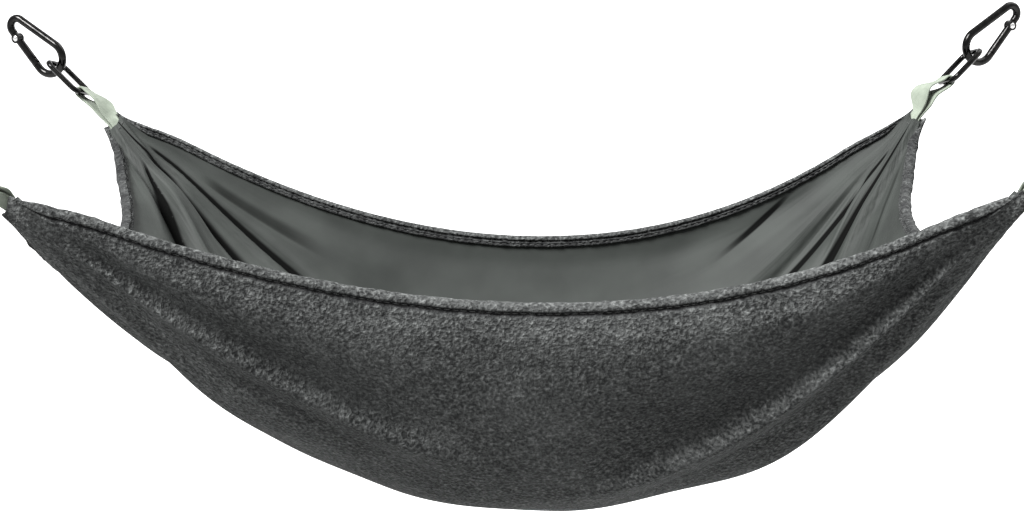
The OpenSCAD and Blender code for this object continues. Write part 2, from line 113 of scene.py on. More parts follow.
@dataclass(frozen=True)
class Fold:
    """A broad fold that fans out from a corner, in both panels. Lengths are in metres, angles in degrees."""

    corner: Corner
    angle: float
    width: float
    height: float
    start: float
    full: float
    fade: float
    end: float

    def relief(self, reach: Array, fan: Array) -> Array:
        """Height of the fold.

        Args:
            reach: Distance from the corner in the flat cut.
            fan: Angle from the long rim in the flat cut, in radians.

        Returns:
            Height along the sling's inner normal.
        """
        width = self.width * np.sqrt(np.maximum(reach, 0.02) / self.full)
        length = ease(reach, self.start, self.full) * (1.0 - ease(reach, self.fade, self.end))
        return self.height * bump(reach * (fan - math.radians(self.angle)) / width) * length


@dataclass(frozen=True)
class Pleat:
    """A stepped pleat below a long rim, with a round upper crest and a sharp lower one, in both panels.

    Each crest is a straight line in the flat cut, at an angle and some way aside from the corner. Lengths are
    in metres, angles in degrees.
    """

    corner: Corner
    upper: float
    lower: float
    upper_aside: float
    lower_aside: float
    height: float
    start: float = 0.028
    full: float = 0.075
    fade: float = 0.200
    end: float = 0.300

    PROFILE = (
        (-1.20, 0.00), (-0.80, 0.03), (-0.15, 0.12), (0.00, 0.13), (0.10, 0.06),
        (0.62, -0.72), (0.80, -0.76), (0.90, -0.44), (0.97, 0.26), (1.03, 0.30),
        (1.10, 0.14), (1.42, -0.56), (1.60, -0.60), (2.10, -0.28), (2.80, 0.00),
    )
    LEAN_MOST = 0.7
    STEP_LEAST = math.radians(2.5)

    def crest(self, angle: float, aside: float, reach: Array) -> Array:
        """Angle of a crest's line at a distance from the corner, in radians."""
        lean = np.clip(aside / np.maximum(reach, 0.01), -self.LEAN_MOST, self.LEAN_MOST)
        return math.radians(angle) + np.arcsin(lean)

    def place(self, reach: Array, fan: Array) -> Array:
        """Place across the pleat.

        Args:
            reach: Distance from the corner in the flat cut.
            fan: Angle from the long rim in the flat cut, in radians.

        Returns:
            0 on the upper crest and 1 on the lower one.
        """
        top = self.crest(self.upper, self.upper_aside, reach)
        low = self.crest(self.lower, self.lower_aside, reach)
        return (fan - top) / np.maximum(low - top, self.STEP_LEAST)

    def presence(self, reach: Array, fan: Array) -> Array:
        """Share of the pleat that is there, which is none on the rim itself."""
        length = ease(reach, self.start, self.full) * (1.0 - ease(reach, self.fade, self.end))
        return length * ease(reach * np.sin(np.clip(fan, 0.0, 1.5)), 0.001, 0.008)

    def relief(self, reach: Array, fan: Array) -> Array:
        """Height of the pleat along the sling's inner normal.

        Args:
            reach: Distance from the corner in the flat cut.
            fan: Angle from the long rim in the flat cut, in radians.

        Returns:
            Height in metres.
        """
        shape = np.interp(self.place(reach, fan), *zip(*self.PROFILE))
        grown = np.clip(0.6 + 5.0 * reach, 0.0, 1.35)
        return -self.height * grown * shape * self.presence(reach, fan)


@dataclass(frozen=True)
class Valley:
    """A sharp crease between two loose swells of the lining.

    It is straight in the flat cut and some way aside from the corner. Lengths are in metres, angles in
    degrees.
    """

    corner: Corner
    angle: float
    rim_side: float
    far_side: float
    depth: float
    start: float
    end: float
    aside: float = 0.0

    def offset(self, reach: Array, fan: Array) -> Array:
        """Distance from the crease in widths of the side it lies on.

        Args:
            reach: Distance from the corner in the flat cut.
            fan: Angle from the long rim in the flat cut, in radians.

        Returns:
            The distance, below 0 towards the rim.
        """
        x = reach * np.sin(np.clip(fan - math.radians(self.angle), -1.5, 1.5)) - self.aside
        widen = 0.35 + 0.75 * np.clip(reach / self.end, 0.0, 1.0)
        return x / (widen * np.where(x < 0.0, self.rim_side, self.far_side))

    def presence(self, reach: Array) -> Array:
        """Share of the crease that is there at a distance from the corner."""
        ended = ease(reach, self.end * 0.85, self.end * 1.2)
        return self.depth * ease(reach, self.start * 0.75, self.start) * (1.0 - ended)

    def strength(self, reach: Array, fan: Array) -> Array:
        """Share of the lining's slack that the crease takes away, rounded at its bottom."""
        soft, wide = 0.35, 2.6
        return self.presence(reach) * np.exp(soft - np.hypot(self.offset(reach, fan) / wide, soft))


FL, FR, BL, BR = Corner.FRONT_LEFT, Corner.FRONT_RIGHT, Corner.BACK_LEFT, Corner.BACK_RIGHT

FOLDS: Tuple[Fold, ...] = (
    Fold(FR, 56.0, 0.075, 0.0010, 0.040, 0.110, 0.200, 0.330),
    Fold(FL, 52.0, 0.080, 0.0050, 0.040, 0.110, 0.220, 0.340),
    Fold(BL, 54.0, 0.030, 0.0034, 0.040, 0.110, 0.200, 0.330),
    Fold(BR, 52.0, 0.030, 0.0034, 0.040, 0.110, 0.200, 0.330),
)

PLEATS: Tuple[Pleat, ...] = (
    Pleat(FR, 3.0, 19.5, 0.0010, 0.0, 0.0060),
    Pleat(FL, 3.0, 11.8, 0.0030, 0.0062, 0.0052),
    Pleat(BL, 3.0, 15.0, 0.0080, 0.0040, 0.0026),
    Pleat(BR, 3.0, 16.0, 0.0080, 0.0030, 0.0026),
)

VALLEYS: Tuple[Valley, ...] = (
    Valley(BL, 62.0, 0.0012, 0.0048, 1.0, 0.046, 0.110, -0.0045),
    Valley(BL, 16.0, 0.0016, 0.0012, 0.9, 0.020, 0.055, 0.0072),
    Valley(BL, 24.5, 0.0062, 0.0013, 1.0, 0.044, 0.120, 0.0057),
    Valley(BL, 14.2, 0.0020, 0.0010, 1.0, 0.050, 0.150, -0.0009),
    Valley(BL, 4.5, 0.0032, 0.0016, 0.55, 0.090, 0.150, 0.0054),
    Valley(BR, 27.0, 0.0034, 0.0036, 1.0, 0.028, 0.115, 0.0152),
    Valley(BR, 15.0, 0.0020, 0.0022, 1.0, 0.040, 0.125, 0.0118),
    Valley(BR, 10.5, 0.0012, 0.0010, 0.25, 0.055, 0.120, 0.0083),
    Valley(BR, 13.0, 0.0011, 0.0009, 1.0, 0.122, 0.140, -0.0196),
    Valley(BR, 72.0, 0.0030, 0.0014, 0.45, 0.050, 0.090, 0.0030),
    Valley(FL, 60.0, 0.0040, 0.0014, 1.0, 0.046, 0.120, 0.0020),
    Valley(FL, 30.0, 0.0050, 0.0014, 1.0, 0.046, 0.140, 0.0060),
    Valley(FL, 14.0, 0.0030, 0.0012, 0.9, 0.055, 0.160),
    Valley(FR, 58.0, 0.0040, 0.0014, 1.0, 0.046, 0.120),
    Valley(FR, 27.0, 0.0050, 0.0014, 1.0, 0.046, 0.140, 0.0060),
    Valley(FR, 12.0, 0.0030, 0.0012, 0.9, 0.055, 0.160),
)

LOOP_SLACK: Dict[Corner, float] = {BR: 0.0060}
LOOP_WIDTH: Dict[Corner, float] = {BL: 0.0115}
CREASE_SLOTS = max(sum(valley.corner is corner for valley in VALLEYS) for corner in Corner)


@dataclass(frozen=True)
class SlingForm:
    """The hung sheet that both panels follow, in metres, as the part's solids have it."""

    span: float = 0.540
    depth: float = 0.362
    front_rim_sag: float = 0.076
    back_rim_sag: float = 0.096
    end_sag: float = 0.073
    bowl_sag: float = 0.057
    rim_draw: float = 0.026
    end_draw: float = 0.040
    low_shift: float = 0.022
    rim_power: float = 2.05
    end_power: float = 3.5
    bowl_power: float = 3.7
    corner_height: float = 0.219539
    corner_leg: float = 0.025
    gather_height: float = 0.003
    gather_start: float = 0.028
    gather_full: float = 0.095
    gather_angle: Tuple[float, ...] = (20.0, 43.0, 66.0)
    gather_share: Tuple[float, ...] = (0.8, 1.0, 0.9)
    gather_reach: Tuple[float, ...] = (0.250, 0.270, 0.210)
    gather_half: float = 11.0
    draw_in: float = 0.25
    draw_depth: float = 0.035
    rim_swell: float = 0.0034
    swell_full: float = 0.019
    swell_end: float = 0.100
    slow_height: float = 0.0012

    @property
    def half_length(self) -> float:
        """Half the length of the flat cut."""
        sag = 0.5 * (self.front_rim_sag + self.back_rim_sag)
        return 0.5 * (self.span + 8.0 / 3.0 * (sag ** 2 + self.rim_draw ** 2) / self.span)

    @property
    def half_width(self) -> float:
        """Half the width of the flat cut."""
        return 0.5 * (self.depth + 8.0 / 3.0 * (self.end_sag ** 2 + self.end_draw ** 2) / self.depth)

    def hung(self, u: Array, v: Array) -> Array:
        """Points of the smooth hung sheet.

        Args:
            u: Place along X, from -1 to 1.
            v: Place along Y, from -1 to 1.

        Returns:
            Points in the part's frame.
        """
        skew = u - self.low_shift / (self.span / 2.0) * (1.0 - u * u)
        across = 1.0 - np.abs(v) ** self.end_power
        rim_sag = self.front_rim_sag + (self.back_rim_sag - self.front_rim_sag) * (v + 1.0) / 2.0
        x = u * (self.span / 2.0 - self.end_draw * across)
        y = v * (self.depth / 2.0 - self.rim_draw * (1.0 - u * u))
        z = self.corner_height - rim_sag * (1.0 - np.abs(skew) ** self.rim_power)
        z = z - (self.end_sag + self.bowl_sag * (1.0 - np.abs(skew) ** self.bowl_power)) * across
        return np.stack([x, y, z], -1)

    def normal(self, u: Array, v: Array) -> Array:
        """Unit normals of the hung sheet that point into the bowl.

        Args:
            u: Place along X, from -1 to 1.
            v: Place along Y, from -1 to 1.

        Returns:
            The normals.
        """
        h = 0.004
        along = self.hung(u + h, v) - self.hung(u - h, v)
        across = self.hung(u, v + h) - self.hung(u, v - h)
        return unit(np.cross(along, across))

    def polar(self, corner: Corner, u: Array, v: Array) -> Tuple[Array, Array]:
        """Distance and angle from a corner of the flat cut.

        Args:
            corner: The corner.
            u: Place along X, from -1 to 1.
            v: Place along Y, from -1 to 1.

        Returns:
            The distance in metres and the angle from the long rim in radians.
        """
        along = (1.0 - corner.value[0] * u) * self.half_length
        across = (1.0 - corner.value[1] * v) * self.half_width
        return np.hypot(along, across), np.arctan2(across, along)

    def nearest(self, u: Array, v: Array) -> Tuple[Array, Array, Array]:
        """The nearest corner's number, with the distance and angle from it in the flat cut.

        Args:
            u: Place along X, from -1 to 1.
            v: Place along Y, from -1 to 1.

        Returns:
            The corner's number, the distance in metres and the angle in radians.
        """
        reaches, fans = zip(*(self.polar(corner, u, v) for corner in Corner))
        which = np.argmin(reaches, axis=0)
        return which, np.choose(which, reaches), np.choose(which, fans)

    def gather(self, u: Array, v: Array) -> Array:
        """Height of the main gathers, which bulge outwards.

        Args:
            u: Place along X, from -1 to 1.
            v: Place along Y, from -1 to 1.

        Returns:
            Height along the sling's inner normal, so never above 0.
        """
        total = np.zeros_like(u)
        for corner in Corner:
            reach, fan = self.polar(corner, u, v)
            for angle, share, far in zip(self.gather_angle, self.gather_share, self.gather_reach):
                hump = bump((np.degrees(fan) - angle) / self.gather_half)
                length = ease(reach, self.gather_start, self.gather_full)
                total = total + share * hump * length * (1.0 - ease(reach, far / 2.0, far))
        return -self.gather_height * total

    def relief(self, u: Array, v: Array) -> Array:
        """Height of all folds that both panels share.

        Args:
            u: Place along X, from -1 to 1.
            v: Place along Y, from -1 to 1.

        Returns:
            Height in metres.
        """
        total = self.gather(u, v)
        for fold in (*FOLDS, *PLEATS):
            total = total + fold.relief(*self.polar(fold.corner, u, v))
        below = (1.0 - np.abs(v)) * self.half_width * (1.0 + 1.2 * (1.0 - u * u))
        swell = ease(below, 0.0, self.swell_full) * (1.0 - ease(below, self.swell_full, self.swell_end))
        total = total - self.rim_swell * swell * ease(1.0 - np.abs(u), 0.10, 0.45)
        inside = ease(np.minimum(1.0 - np.abs(u), 1.0 - np.abs(v)), 0.05, 0.3)
        slow = ripple(u + 0.6 * v, (0.52, 0.83), 1.0) * ripple(v - 0.4 * u, (0.61, 0.97), 2.0)
        return total + self.slow_height * inside * slow

    def cloth(self, u: Array, v: Array, lift: Union[float, Array]) -> Array:
        """Points of the folded sheet.

        Args:
            u: Place along X, from -1 to 1.
            v: Place along Y, from -1 to 1.
            lift: Height above the fleece's inner face.

        Returns:
            Points in the part's frame.
        """
        u, v = np.asarray(u, float), np.asarray(v, float)
        points = self.hung(u, v) + self.normal(u, v) * (self.relief(u, v) + lift)[..., None]
        for corner in Corner:
            points = points + self.drawn(corner, u, v)[..., None] * self.mouth_line(corner)
        return points

    def mouth_line(self, corner: Corner) -> Array:
        """Direction across a corner's mouth, from the long rim to the short one.

        Args:
            corner: The corner.

        Returns:
            A unit vector.
        """
        c, a, b = corner.value, self.corner_leg / self.half_length, self.corner_leg / self.half_width
        short = self.hung(np.array(c[0] * 1.0), np.array(c[1] * (1.0 - b)))
        return unit(short - self.hung(np.array(c[0] * (1.0 - a)), np.array(c[1] * 1.0)))

    def drawn(self, corner: Corner, u: Array, v: Array) -> Array:
        """How far the sheet is drawn along a corner's mouth towards the webbing.

        Args:
            corner: The corner.
            u: Place along X, from -1 to 1.
            v: Place along Y, from -1 to 1.

        Returns:
            Distance in metres, with its sign.
        """
        along = (1.0 - corner.value[0] * u) * self.half_length
        across = (1.0 - corner.value[1] * v) * self.half_width
        deep = (along + across - self.corner_leg) / math.sqrt(2.0)
        side = (along - across) / math.sqrt(2.0)
        near = (1.0 - ease(deep, 0.0, self.draw_depth)) * (1.0 - ease(np.abs(side), 0.019, 0.060))
        return self.draw_in * side * near


@dataclass(frozen=True)
class Outline:
    """The panels' edge as columns that run round it, with the cut-off corners that the webbing leaves by."""

    u: Array
    v: Array
    run: Array
    share: Array
    stretch: Array

    @staticmethod
    def around(form: SlingForm, long_steps: int, short_steps: int, mouth_steps: int) -> "Outline":
        """Columns round the flat cut, starting at the front right corner.

        Args:
            form: The hung sheet.
            long_steps: Columns on a long edge.
            short_steps: Columns on a short edge.
            mouth_steps: Columns on a cut-off corner.

        Returns:
            The outline, with share going from 0 at the corners to 1 where the hem is whole.
        """
        leg_u, leg_v = form.corner_leg / form.half_length, form.corner_leg / form.half_width
        a, b = 1.0 - leg_u, 1.0 - leg_v
        ends = [(1, -b), (1, b), (a, 1), (-a, 1), (-1, b), (-1, -b), (-a, -1), (a, -1)]
        steps = [short_steps, mouth_steps, long_steps, mouth_steps] * 2
        u, v, gap = [], [], []
        for k, n in enumerate(steps):
            (u0, v0), (u1, v1) = ends[k], ends[(k + 1) % len(ends)]
            t = np.arange(n) / n
            length = math.hypot((u1 - u0) * form.half_length, (v1 - v0) * form.half_width)
            u.append(u0 + (u1 - u0) * t)
            v.append(v0 + (v1 - v0) * t)
            gap.append(np.zeros(n) if k % 2 else np.minimum(t, 1.0 - t) * length)
        u, v, gap = np.concatenate(u), np.concatenate(v), np.concatenate(gap)
        flat = np.stack([u * form.half_length, v * form.half_width], -1)
        run = np.concatenate([[0.0], np.cumsum(np.linalg.norm(np.diff(flat, axis=0), axis=1))])
        step = 0.03
        edge = form.hung(u, v)
        ends_way = np.linalg.norm(edge - form.hung(u * (1.0 - step), v), axis=-1) / (step * form.half_length)
        rims_way = np.linalg.norm(edge - form.hung(u, v * (1.0 - step)), axis=-1) / (step * form.half_width)
        kind = np.repeat(np.arange(len(steps)) % 4, steps)
        between = 0.5 * (ends_way + rims_way)
        stretch = np.choose(kind, [ends_way, between, rims_way, between])
        stretch = np.mean([np.roll(stretch, k) for k in range(-6, 7)], axis=0)
        return Outline(u, v, run, ease(gap, 0.0005, 0.016), stretch)

    def inset(self, form: SlingForm, width: Union[float, Array]) -> Tuple[Array, Array]:
        """The columns' places drawn in by a width, measured on the hung sheet."""
        flat = width / self.stretch
        return self.u * (1.0 - flat / form.half_length), self.v * (1.0 - flat / form.half_width)


class Skin:
    """A closed surface over rings of points, from a pole on one face to a pole on the other."""

    def __init__(self, form: SlingForm, outline: Outline) -> None:
        """Starts a skin with no rings.

        Args:
            form: The hung sheet.
            outline: The panels' edge.
        """
        self.form = form
        self.outline = outline
        self.rings: List[Array] = []
        self.places: List[Tuple[Array, Array]] = []
        self.depths: List[Array] = []
        self.u, self.v = np.zeros(0), np.zeros(0)

    def ring(self, points: Array, u: Array, v: Array, crease: Union[float, Array] = 0.0) -> None:
        """Adds a ring.

        Args:
            points: The ring's points.
            u: Their places along X, for the cloth's own coordinates.
            v: Their places along Y, for the cloth's own coordinates.
            crease: How far painted shade darkens them, from 0 to 1.
        """
        self.rings.append(points)
        self.places.append((u, v))
        self.depths.append(np.broadcast_to(crease, u.shape))

    def mesh(self, name: str, bottom: Array, top: Array) -> bpy.types.Object:
        """Builds the object.

        Args:
            name: The piece's name.
            bottom: Pole of the first face.
            top: Pole of the last face.

        Returns:
            The new object, with flat-cut coordinates as its UV map and corner coordinates as attributes.
        """
        columns, count = len(self.outline.u), len(self.rings)
        points = np.concatenate([bottom[None], *self.rings, top[None]])
        quads = ring_quads(count, columns, 1)
        j = np.arange(columns)
        k = (j + 1) % columns
        last = 1 + (count - 1) * columns
        low = np.stack([np.zeros(columns, int), 1 + k, 1 + j], -1)
        high = np.stack([np.full(columns, len(points) - 1), last + j, last + k], -1)
        u = np.concatenate([[0.0], *[p[0] for p in self.places], [0.0]])
        v = np.concatenate([[0.0], *[p[1] for p in self.places], [0.0]])
        self.u, self.v = u, v
        piece = new_piece(name, points, [low, quads, high])
        set_uv(piece, np.stack([u * self.form.half_length, v * self.form.half_width], -1))
        _, reach, fan = self.form.nearest(u, v)
        set_attribute(piece, "reach", reach)
        set_attribute(piece, "fan", fan)
        # Painted shade of the fleece's hem, 0 on the lining.
        set_attribute(piece, "crease", np.concatenate([[0.0], *self.depths, [0.0]]))
        return piece


def ring_quads(rings: int, columns: int, first: int = 0) -> Array:
    """Quads between neighbouring rings of points.

    Args:
        rings: How many rings there are.
        columns: Points on a ring.
        first: Number of the first ring's first point.

    Returns:
        Four point numbers per quad.
    """
    j = np.arange(columns)
    k = (j + 1) % columns
    start = first + np.arange(rings - 1)[:, None] * columns
    return np.stack([start + j, start + k, start + columns + k, start + columns + j], -1).reshape(-1, 4)


def new_piece(name: str, points: Array, faces: Sequence[Array]) -> bpy.types.Object:
    """Makes a smooth mesh object at the origin.

    Args:
        name: The piece's name.
        points: Its points.
        faces: Arrays of faces with the same number of corners in each.

    Returns:
        The linked object.
    """
    mesh = bpy.data.meshes.new(name)
    mesh.from_pydata(points.tolist(), [], [f for group in faces for f in group.tolist()])
    mesh.polygons.foreach_set("use_smooth", np.ones(len(mesh.polygons), bool))
    mesh.update()
    piece = bpy.data.objects.new(name, mesh)
    bpy.context.scene.collection.objects.link(piece)
    return piece


def set_uv(piece: bpy.types.Object, per_point: Array) -> None:
    """Writes a UV map from one coordinate pair per point.

    Args:
        piece: The piece.
        per_point: The pairs, in metres.
    """
    mesh = piece.data
    layer = mesh.uv_layers.new(name="UVMap")
    index = np.empty(len(mesh.loops), np.int32)
    mesh.loops.foreach_get("vertex_index", index)
    layer.data.foreach_set("uv", per_point[index].astype(np.float32).ravel())


def set_attribute(piece: bpy.types.Object, name: str, per_point: Array) -> None:
    """Writes one number per point as a named attribute."""
    layer = piece.data.attributes.new(name, "FLOAT", "POINT")
    layer.data.foreach_set("value", per_point.astype(np.float32))


class Wire:
    """A node's output socket, on which arithmetic adds Math nodes."""

    def __init__(self, shop: "Shop", socket: bpy.types.NodeSocket) -> None:
        """Wraps a socket of a shop's tree."""
        self.shop = shop
        self.socket = socket

    def maths(self, operation: str, a: Any, b: Any = 0.0) -> "Wire":
        """Adds one Math node.

        Args:
            operation: The Math node's operation.
            a: First value or wire.
            b: Second value or wire.

        Returns:
            The node's result.
        """
        return self.shop.node("ShaderNodeMath", {"operation": operation}, {0: a, 1: b})

    def __add__(self, other: Any) -> "Wire":
        """Sum."""
        return self.maths("ADD", self, other)

    def __radd__(self, other: Any) -> "Wire":
        """Sum with a number first."""
        return self.maths("ADD", other, self)

    def __sub__(self, other: Any) -> "Wire":
        """Difference."""
        return self.maths("SUBTRACT", self, other)

    def __rsub__(self, other: Any) -> "Wire":
        """Difference with a number first."""
        return self.maths("SUBTRACT", other, self)

    def __mul__(self, other: Any) -> "Wire":
        """Product."""
        return self.maths("MULTIPLY", self, other)

    def __rmul__(self, other: Any) -> "Wire":
        """Product with a number first."""
        return self.maths("MULTIPLY", other, self)

    def sine(self) -> "Wire":
        """Sine."""
        return self.maths("SINE", self)

    def size(self) -> "Wire":
        """Value without its sign."""
        return self.maths("ABSOLUTE", self)

    def exponent(self) -> "Wire":
        """Natural exponent."""
        return self.maths("EXPONENT", self)

    def at_least(self, other: Any) -> "Wire":
        """The larger of two values."""
        return self.maths("MAXIMUM", self, other)

    def step(self, low: float, high: float) -> "Wire":
        """A smooth step from 0 at low to 1 at high."""
        inputs = {"Value": self, "From Min": low, "From Max": high}
        return self.shop.node("ShaderNodeMapRange", {"interpolation_type": "SMOOTHSTEP"}, inputs)


class Shop:
    """Builds one node tree."""

    def __init__(self, tree: bpy.types.NodeTree) -> None:
        """Clears the tree and starts on it."""
        self.tree = tree
        tree.nodes.clear()

    def node(self, kind: str, settings: Optional[Dict[str, Any]] = None,
             inputs: Optional[Dict[Union[str, int], Any]] = None, output: Union[str, int] = 0) -> Wire:
        """Adds a node.

        Args:
            kind: The node's type.
            settings: The node's own settings, set first.
            inputs: Values or wires for its sockets, by name or number.
            output: Which output comes back.

        Returns:
            That output.
        """
        node = self.tree.nodes.new(kind)
        for name, value in (settings or {}).items():
            setattr(node, name, value)
        for key, value in (inputs or {}).items():
            if isinstance(value, Wire):
                self.tree.links.new(value.socket, node.inputs[key])
            else:
                node.inputs[key].default_value = value
        if not node.outputs:
            return Wire(self, None)
        return Wire(self, node.outputs[output])

    def place(self) -> Wire:
        """Object coordinates, in metres."""
        return self.node("ShaderNodeTexCoord", output="Object")

    def flat(self) -> Wire:
        """The cloth's own flat coordinates, in metres."""
        return self.node("ShaderNodeTexCoord", output="UV")

    def attribute(self, name: str) -> Wire:
        """A number that the mesh carries."""
        return self.node("ShaderNodeAttribute", {"attribute_name": name}, output="Fac")

    def noise(self, where: Wire, scale: float, detail: float = 2.0, roughness: float = 0.5,
              swirl: float = 0.0) -> Wire:
        """Noise from 0 to 1.

        Args:
            where: Coordinates.
            scale: Lumps per metre.
            detail: Finer layers.
            roughness: Weight of the finer layers.
            swirl: How far the lumps are drawn into curls.

        Returns:
            The noise.
        """
        inputs = {"Vector": where, "Scale": scale, "Detail": detail, "Roughness": roughness,
                  "Distortion": swirl}
        return self.node("ShaderNodeTexNoise", {"noise_dimensions": "3D"}, inputs, "Fac")

    def point(self, x: Any, y: Any, z: Any = 0.0) -> Wire:
        """A vector of three values."""
        return self.node("ShaderNodeCombineXYZ", None, {"X": x, "Y": y, "Z": z})

    def parts(self, vector: Wire) -> Tuple[Wire, Wire]:
        """The X and Y of a vector."""
        split = self.node("ShaderNodeSeparateXYZ", None, {"Vector": vector}, "X")
        return split, Wire(self, split.socket.node.outputs["Y"])

    def tint(self, share: Wire, low: Any, high: Any) -> Wire:
        """A colour between two.

        Args:
            share: 0 for the first colour, 1 for the second.
            low: First colour or wire.
            high: Second colour or wire.

        Returns:
            The mixed colour.
        """
        return self.node("ShaderNodeMix", {"data_type": "RGBA"}, {0: share, 6: low, 7: high}, 2)

    def bump(self, height: Wire, strength: float, distance: float, under: Optional[Wire] = None) -> Wire:
        """A bumped normal.

        Args:
            height: Height from 0 to 1.
            strength: Share of the effect.
            distance: Height of a full step, in metres.
            under: A normal to start from.

        Returns:
            The normal.
        """
        inputs: Dict[Union[str, int], Any] = {"Strength": strength, "Distance": distance, "Height": height}
        if under is not None:
            inputs["Normal"] = under
        return self.node("ShaderNodeBump", None, inputs)

    def surface(self, shader: Wire) -> None:
        """Ends the tree in a surface."""
        self.node("ShaderNodeOutputMaterial", None, {"Surface": shader})


@dataclass(frozen=True)
class Finish:
    """A material that is worked out from nodes."""

    name: str

    def dress(self, shop: Shop) -> Wire:
        """Adds the finish's nodes and returns its shader."""
        raise NotImplementedError

    def material(self) -> bpy.types.Material:
        """Builds the material.

        Returns:
            The new material.
        """
        made = bpy.data.materials.new(self.name)
        made.use_nodes = True
        shop = Shop(made.node_tree)
        shop.surface(self.dress(shop))
        return made


@dataclass(frozen=True)
class FleeceFinish(Finish):
    """Short pebbly fleece pile."""

    hollow: Colour = (0.020, 0.021, 0.021, 1.0)
    pile: Colour = (0.078, 0.081, 0.080, 1.0)
    tip: Colour = (0.250, 0.260, 0.256, 1.0)
    # Painted shade colour for the hem's grooves, stitch rows, flap and puckers.
    seam: Colour = (0.016, 0.016, 0.017, 1.0)
    grain: float = 560.0
    clumps: float = 230.0
    patches: float = 24.0
    # Strength of the painted shade in the pleats' dips.
    fold_shade: float = 0.42
    # Strength of the painted shade along the hem, partly pile pressed by the seams.
    hem_shade_share: float = 0.85
    patch_bump: Tuple[float, float] = (0.25, 0.004)
    crest_bump: Tuple[float, float] = (0.5, 0.0018)
    pile_bump: Tuple[float, float] = (1.0, 0.0026)

    def dress(self, shop: Shop) -> Wire:
        """Grain, clumps and wide patches of pile with a soft sheen, darkened by painted shade in the pleats'
        dips and by painted shade along the hem, where the seams also press the pile.

        Args:
            shop: Builder of the material's node tree.

        Returns:
            The shader.
        """
        where = shop.place()
        grain = shop.noise(where, self.grain, 2.0, 0.5, 0.3)
        clump = shop.noise(where, self.clumps, 2.0)
        patch = shop.noise(where, self.patches, 3.0)
        height = grain * 0.75 + clump * 0.25
        pile = shop.tint(height.step(0.36, 0.58), self.hollow, self.pile)
        tips = height.step(0.54, 0.72) * 0.6 + patch.step(0.42, 0.72) * 0.12
        colour = shop.tint(tips, pile, self.tip)
        # Painted shade: the pleat's dip and the band below its lower crest are tinted towards the hollow
        # colour.
        place, there = shop.attribute("pleat_place"), shop.attribute("pleat_share")
        inner = place.step(0.12, 0.45) * (1.0 - place.step(0.82, 0.96))
        under = place.step(1.05, 1.16) * (1.0 - place.step(1.30, 1.9))
        fold_shade = shop.tint((inner + under) * self.fold_shade * there, colour, self.hollow)
        # Painted shade along the hem's grooves, stitch rows, flap and puckers, partly pile pressed by the
        # seams.
        hem_shaded = shop.tint(shop.attribute("crease") * self.hem_shade_share, fold_shade, self.seam)
        sharp, rounded = ((place - 1.0).size() * -11.0).exponent(), (place.size() * -5.0).exponent()
        uneven = shop.bump(patch, *self.patch_bump)
        form = shop.bump((sharp * 0.75 + rounded * 0.25) * there, *self.crest_bump, uneven)
        normal = shop.bump(height, *self.pile_bump, form)
        return shop.node("ShaderNodeBsdfPrincipled", None, {
            "Base Color": hem_shaded, "Roughness": 0.96, "Normal": normal, "Specular IOR Level": 0.10,
            "Sheen Weight": 0.11, "Sheen Roughness": 0.35, "Sheen Tint": (0.80, 0.84, 0.82, 1.0)})


@dataclass(frozen=True)
class LiningFinish(Finish):
    """Smooth woven lining, creased in lines that fan out from the corners, with painted near-black shade
    along the creases.
    """

    # Painted shade: the near-black colour of the creases.
    crease: Colour = (0.0035, 0.0036, 0.0035, 1.0)
    shade: Colour = (0.0225, 0.0250, 0.0232, 1.0)
    light: Colour = (0.043, 0.0475, 0.044, 1.0)
    yarn: float = 0.00042
    crease_shade_width: float = 1.25
    crease_shade_most: float = 0.97
    patch_bump: Tuple[float, float] = (0.18, 0.003)
    streak_bump: Tuple[float, float] = (0.26, 0.0060)
    weave_bump: Tuple[float, float] = (0.22, 0.00012)

    def fold(self, shop: Shop) -> Wire:
        """How deep in a crease each place lies, from 0 to 1, which sets the painted shade there.

        Args:
            shop: Builder of the material's node tree.

        Returns:
            A wire with the depth.
        """
        whole: Any = 1.0
        for slot in range(CREASE_SLOTS):
            away = shop.attribute("crease_offset_%d" % slot).size() * (1.0 / self.crease_shade_width)
            near = (1.0 - away.step(0.45, 1.6)) * 0.8 + (away * -0.7).exponent() * 0.2
            whole = whole * (1.0 - near * shop.attribute("crease_share_%d" % slot))
        return 1.0 - whole

    def dress(self, shop: Shop) -> Wire:
        """A fine weave, streaks along the creases, a slight gloss and painted shade in the creases.

        Args:
            shop: Builder of the material's node tree.

        Returns:
            The shader.
        """
        x, y = shop.parts(shop.flat())
        turns = 2.0 * math.pi / self.yarn
        weave = (x * turns).sine() * (y * turns).sine()
        fan, reach = shop.attribute("fan"), shop.attribute("reach")
        near = 1.0 - reach.step(0.10, 0.26)
        streak = shop.noise(shop.point(fan * 9.0, reach * 7.0), 1.0, 2.0, 0.5)
        fine = shop.noise(shop.point(fan * 44.0, reach * 12.0), 1.0, 2.0, 0.5)
        patch = shop.noise(shop.place(), 30.0, 3.0)
        base = shop.tint((streak * 0.55 + patch * 0.45).step(0.30, 0.70), self.shade, self.light)
        # Share of painted shade in the creases.
        share = self.fold(shop).step(0.08, 0.80) * self.crease_shade_most
        rough = 0.50 + 0.14 * patch
        soft = shop.bump(patch, *self.patch_bump)
        lines = shop.bump((streak * 0.8 + fine * 0.2) * near, *self.streak_bump, soft)
        normal = shop.bump(weave * 0.5 + 0.5, *self.weave_bump, lines)
        cloth = shop.node("ShaderNodeBsdfPrincipled", None, {
            "Base Color": base, "Roughness": rough, "Normal": normal, "Specular IOR Level": 0.15,
            "Sheen Weight": 0.015, "Sheen Roughness": 0.35, "Sheen Tint": (0.85, 0.92, 0.88, 1.0)})
        # Painted shade: a near-black matte shader mixed in along the creases.
        deep = shop.node("ShaderNodeBsdfDiffuse", None, {"Color": self.crease, "Normal": normal})
        return shop.node("ShaderNodeMixShader", None, {0: share, 1: cloth, 2: deep})


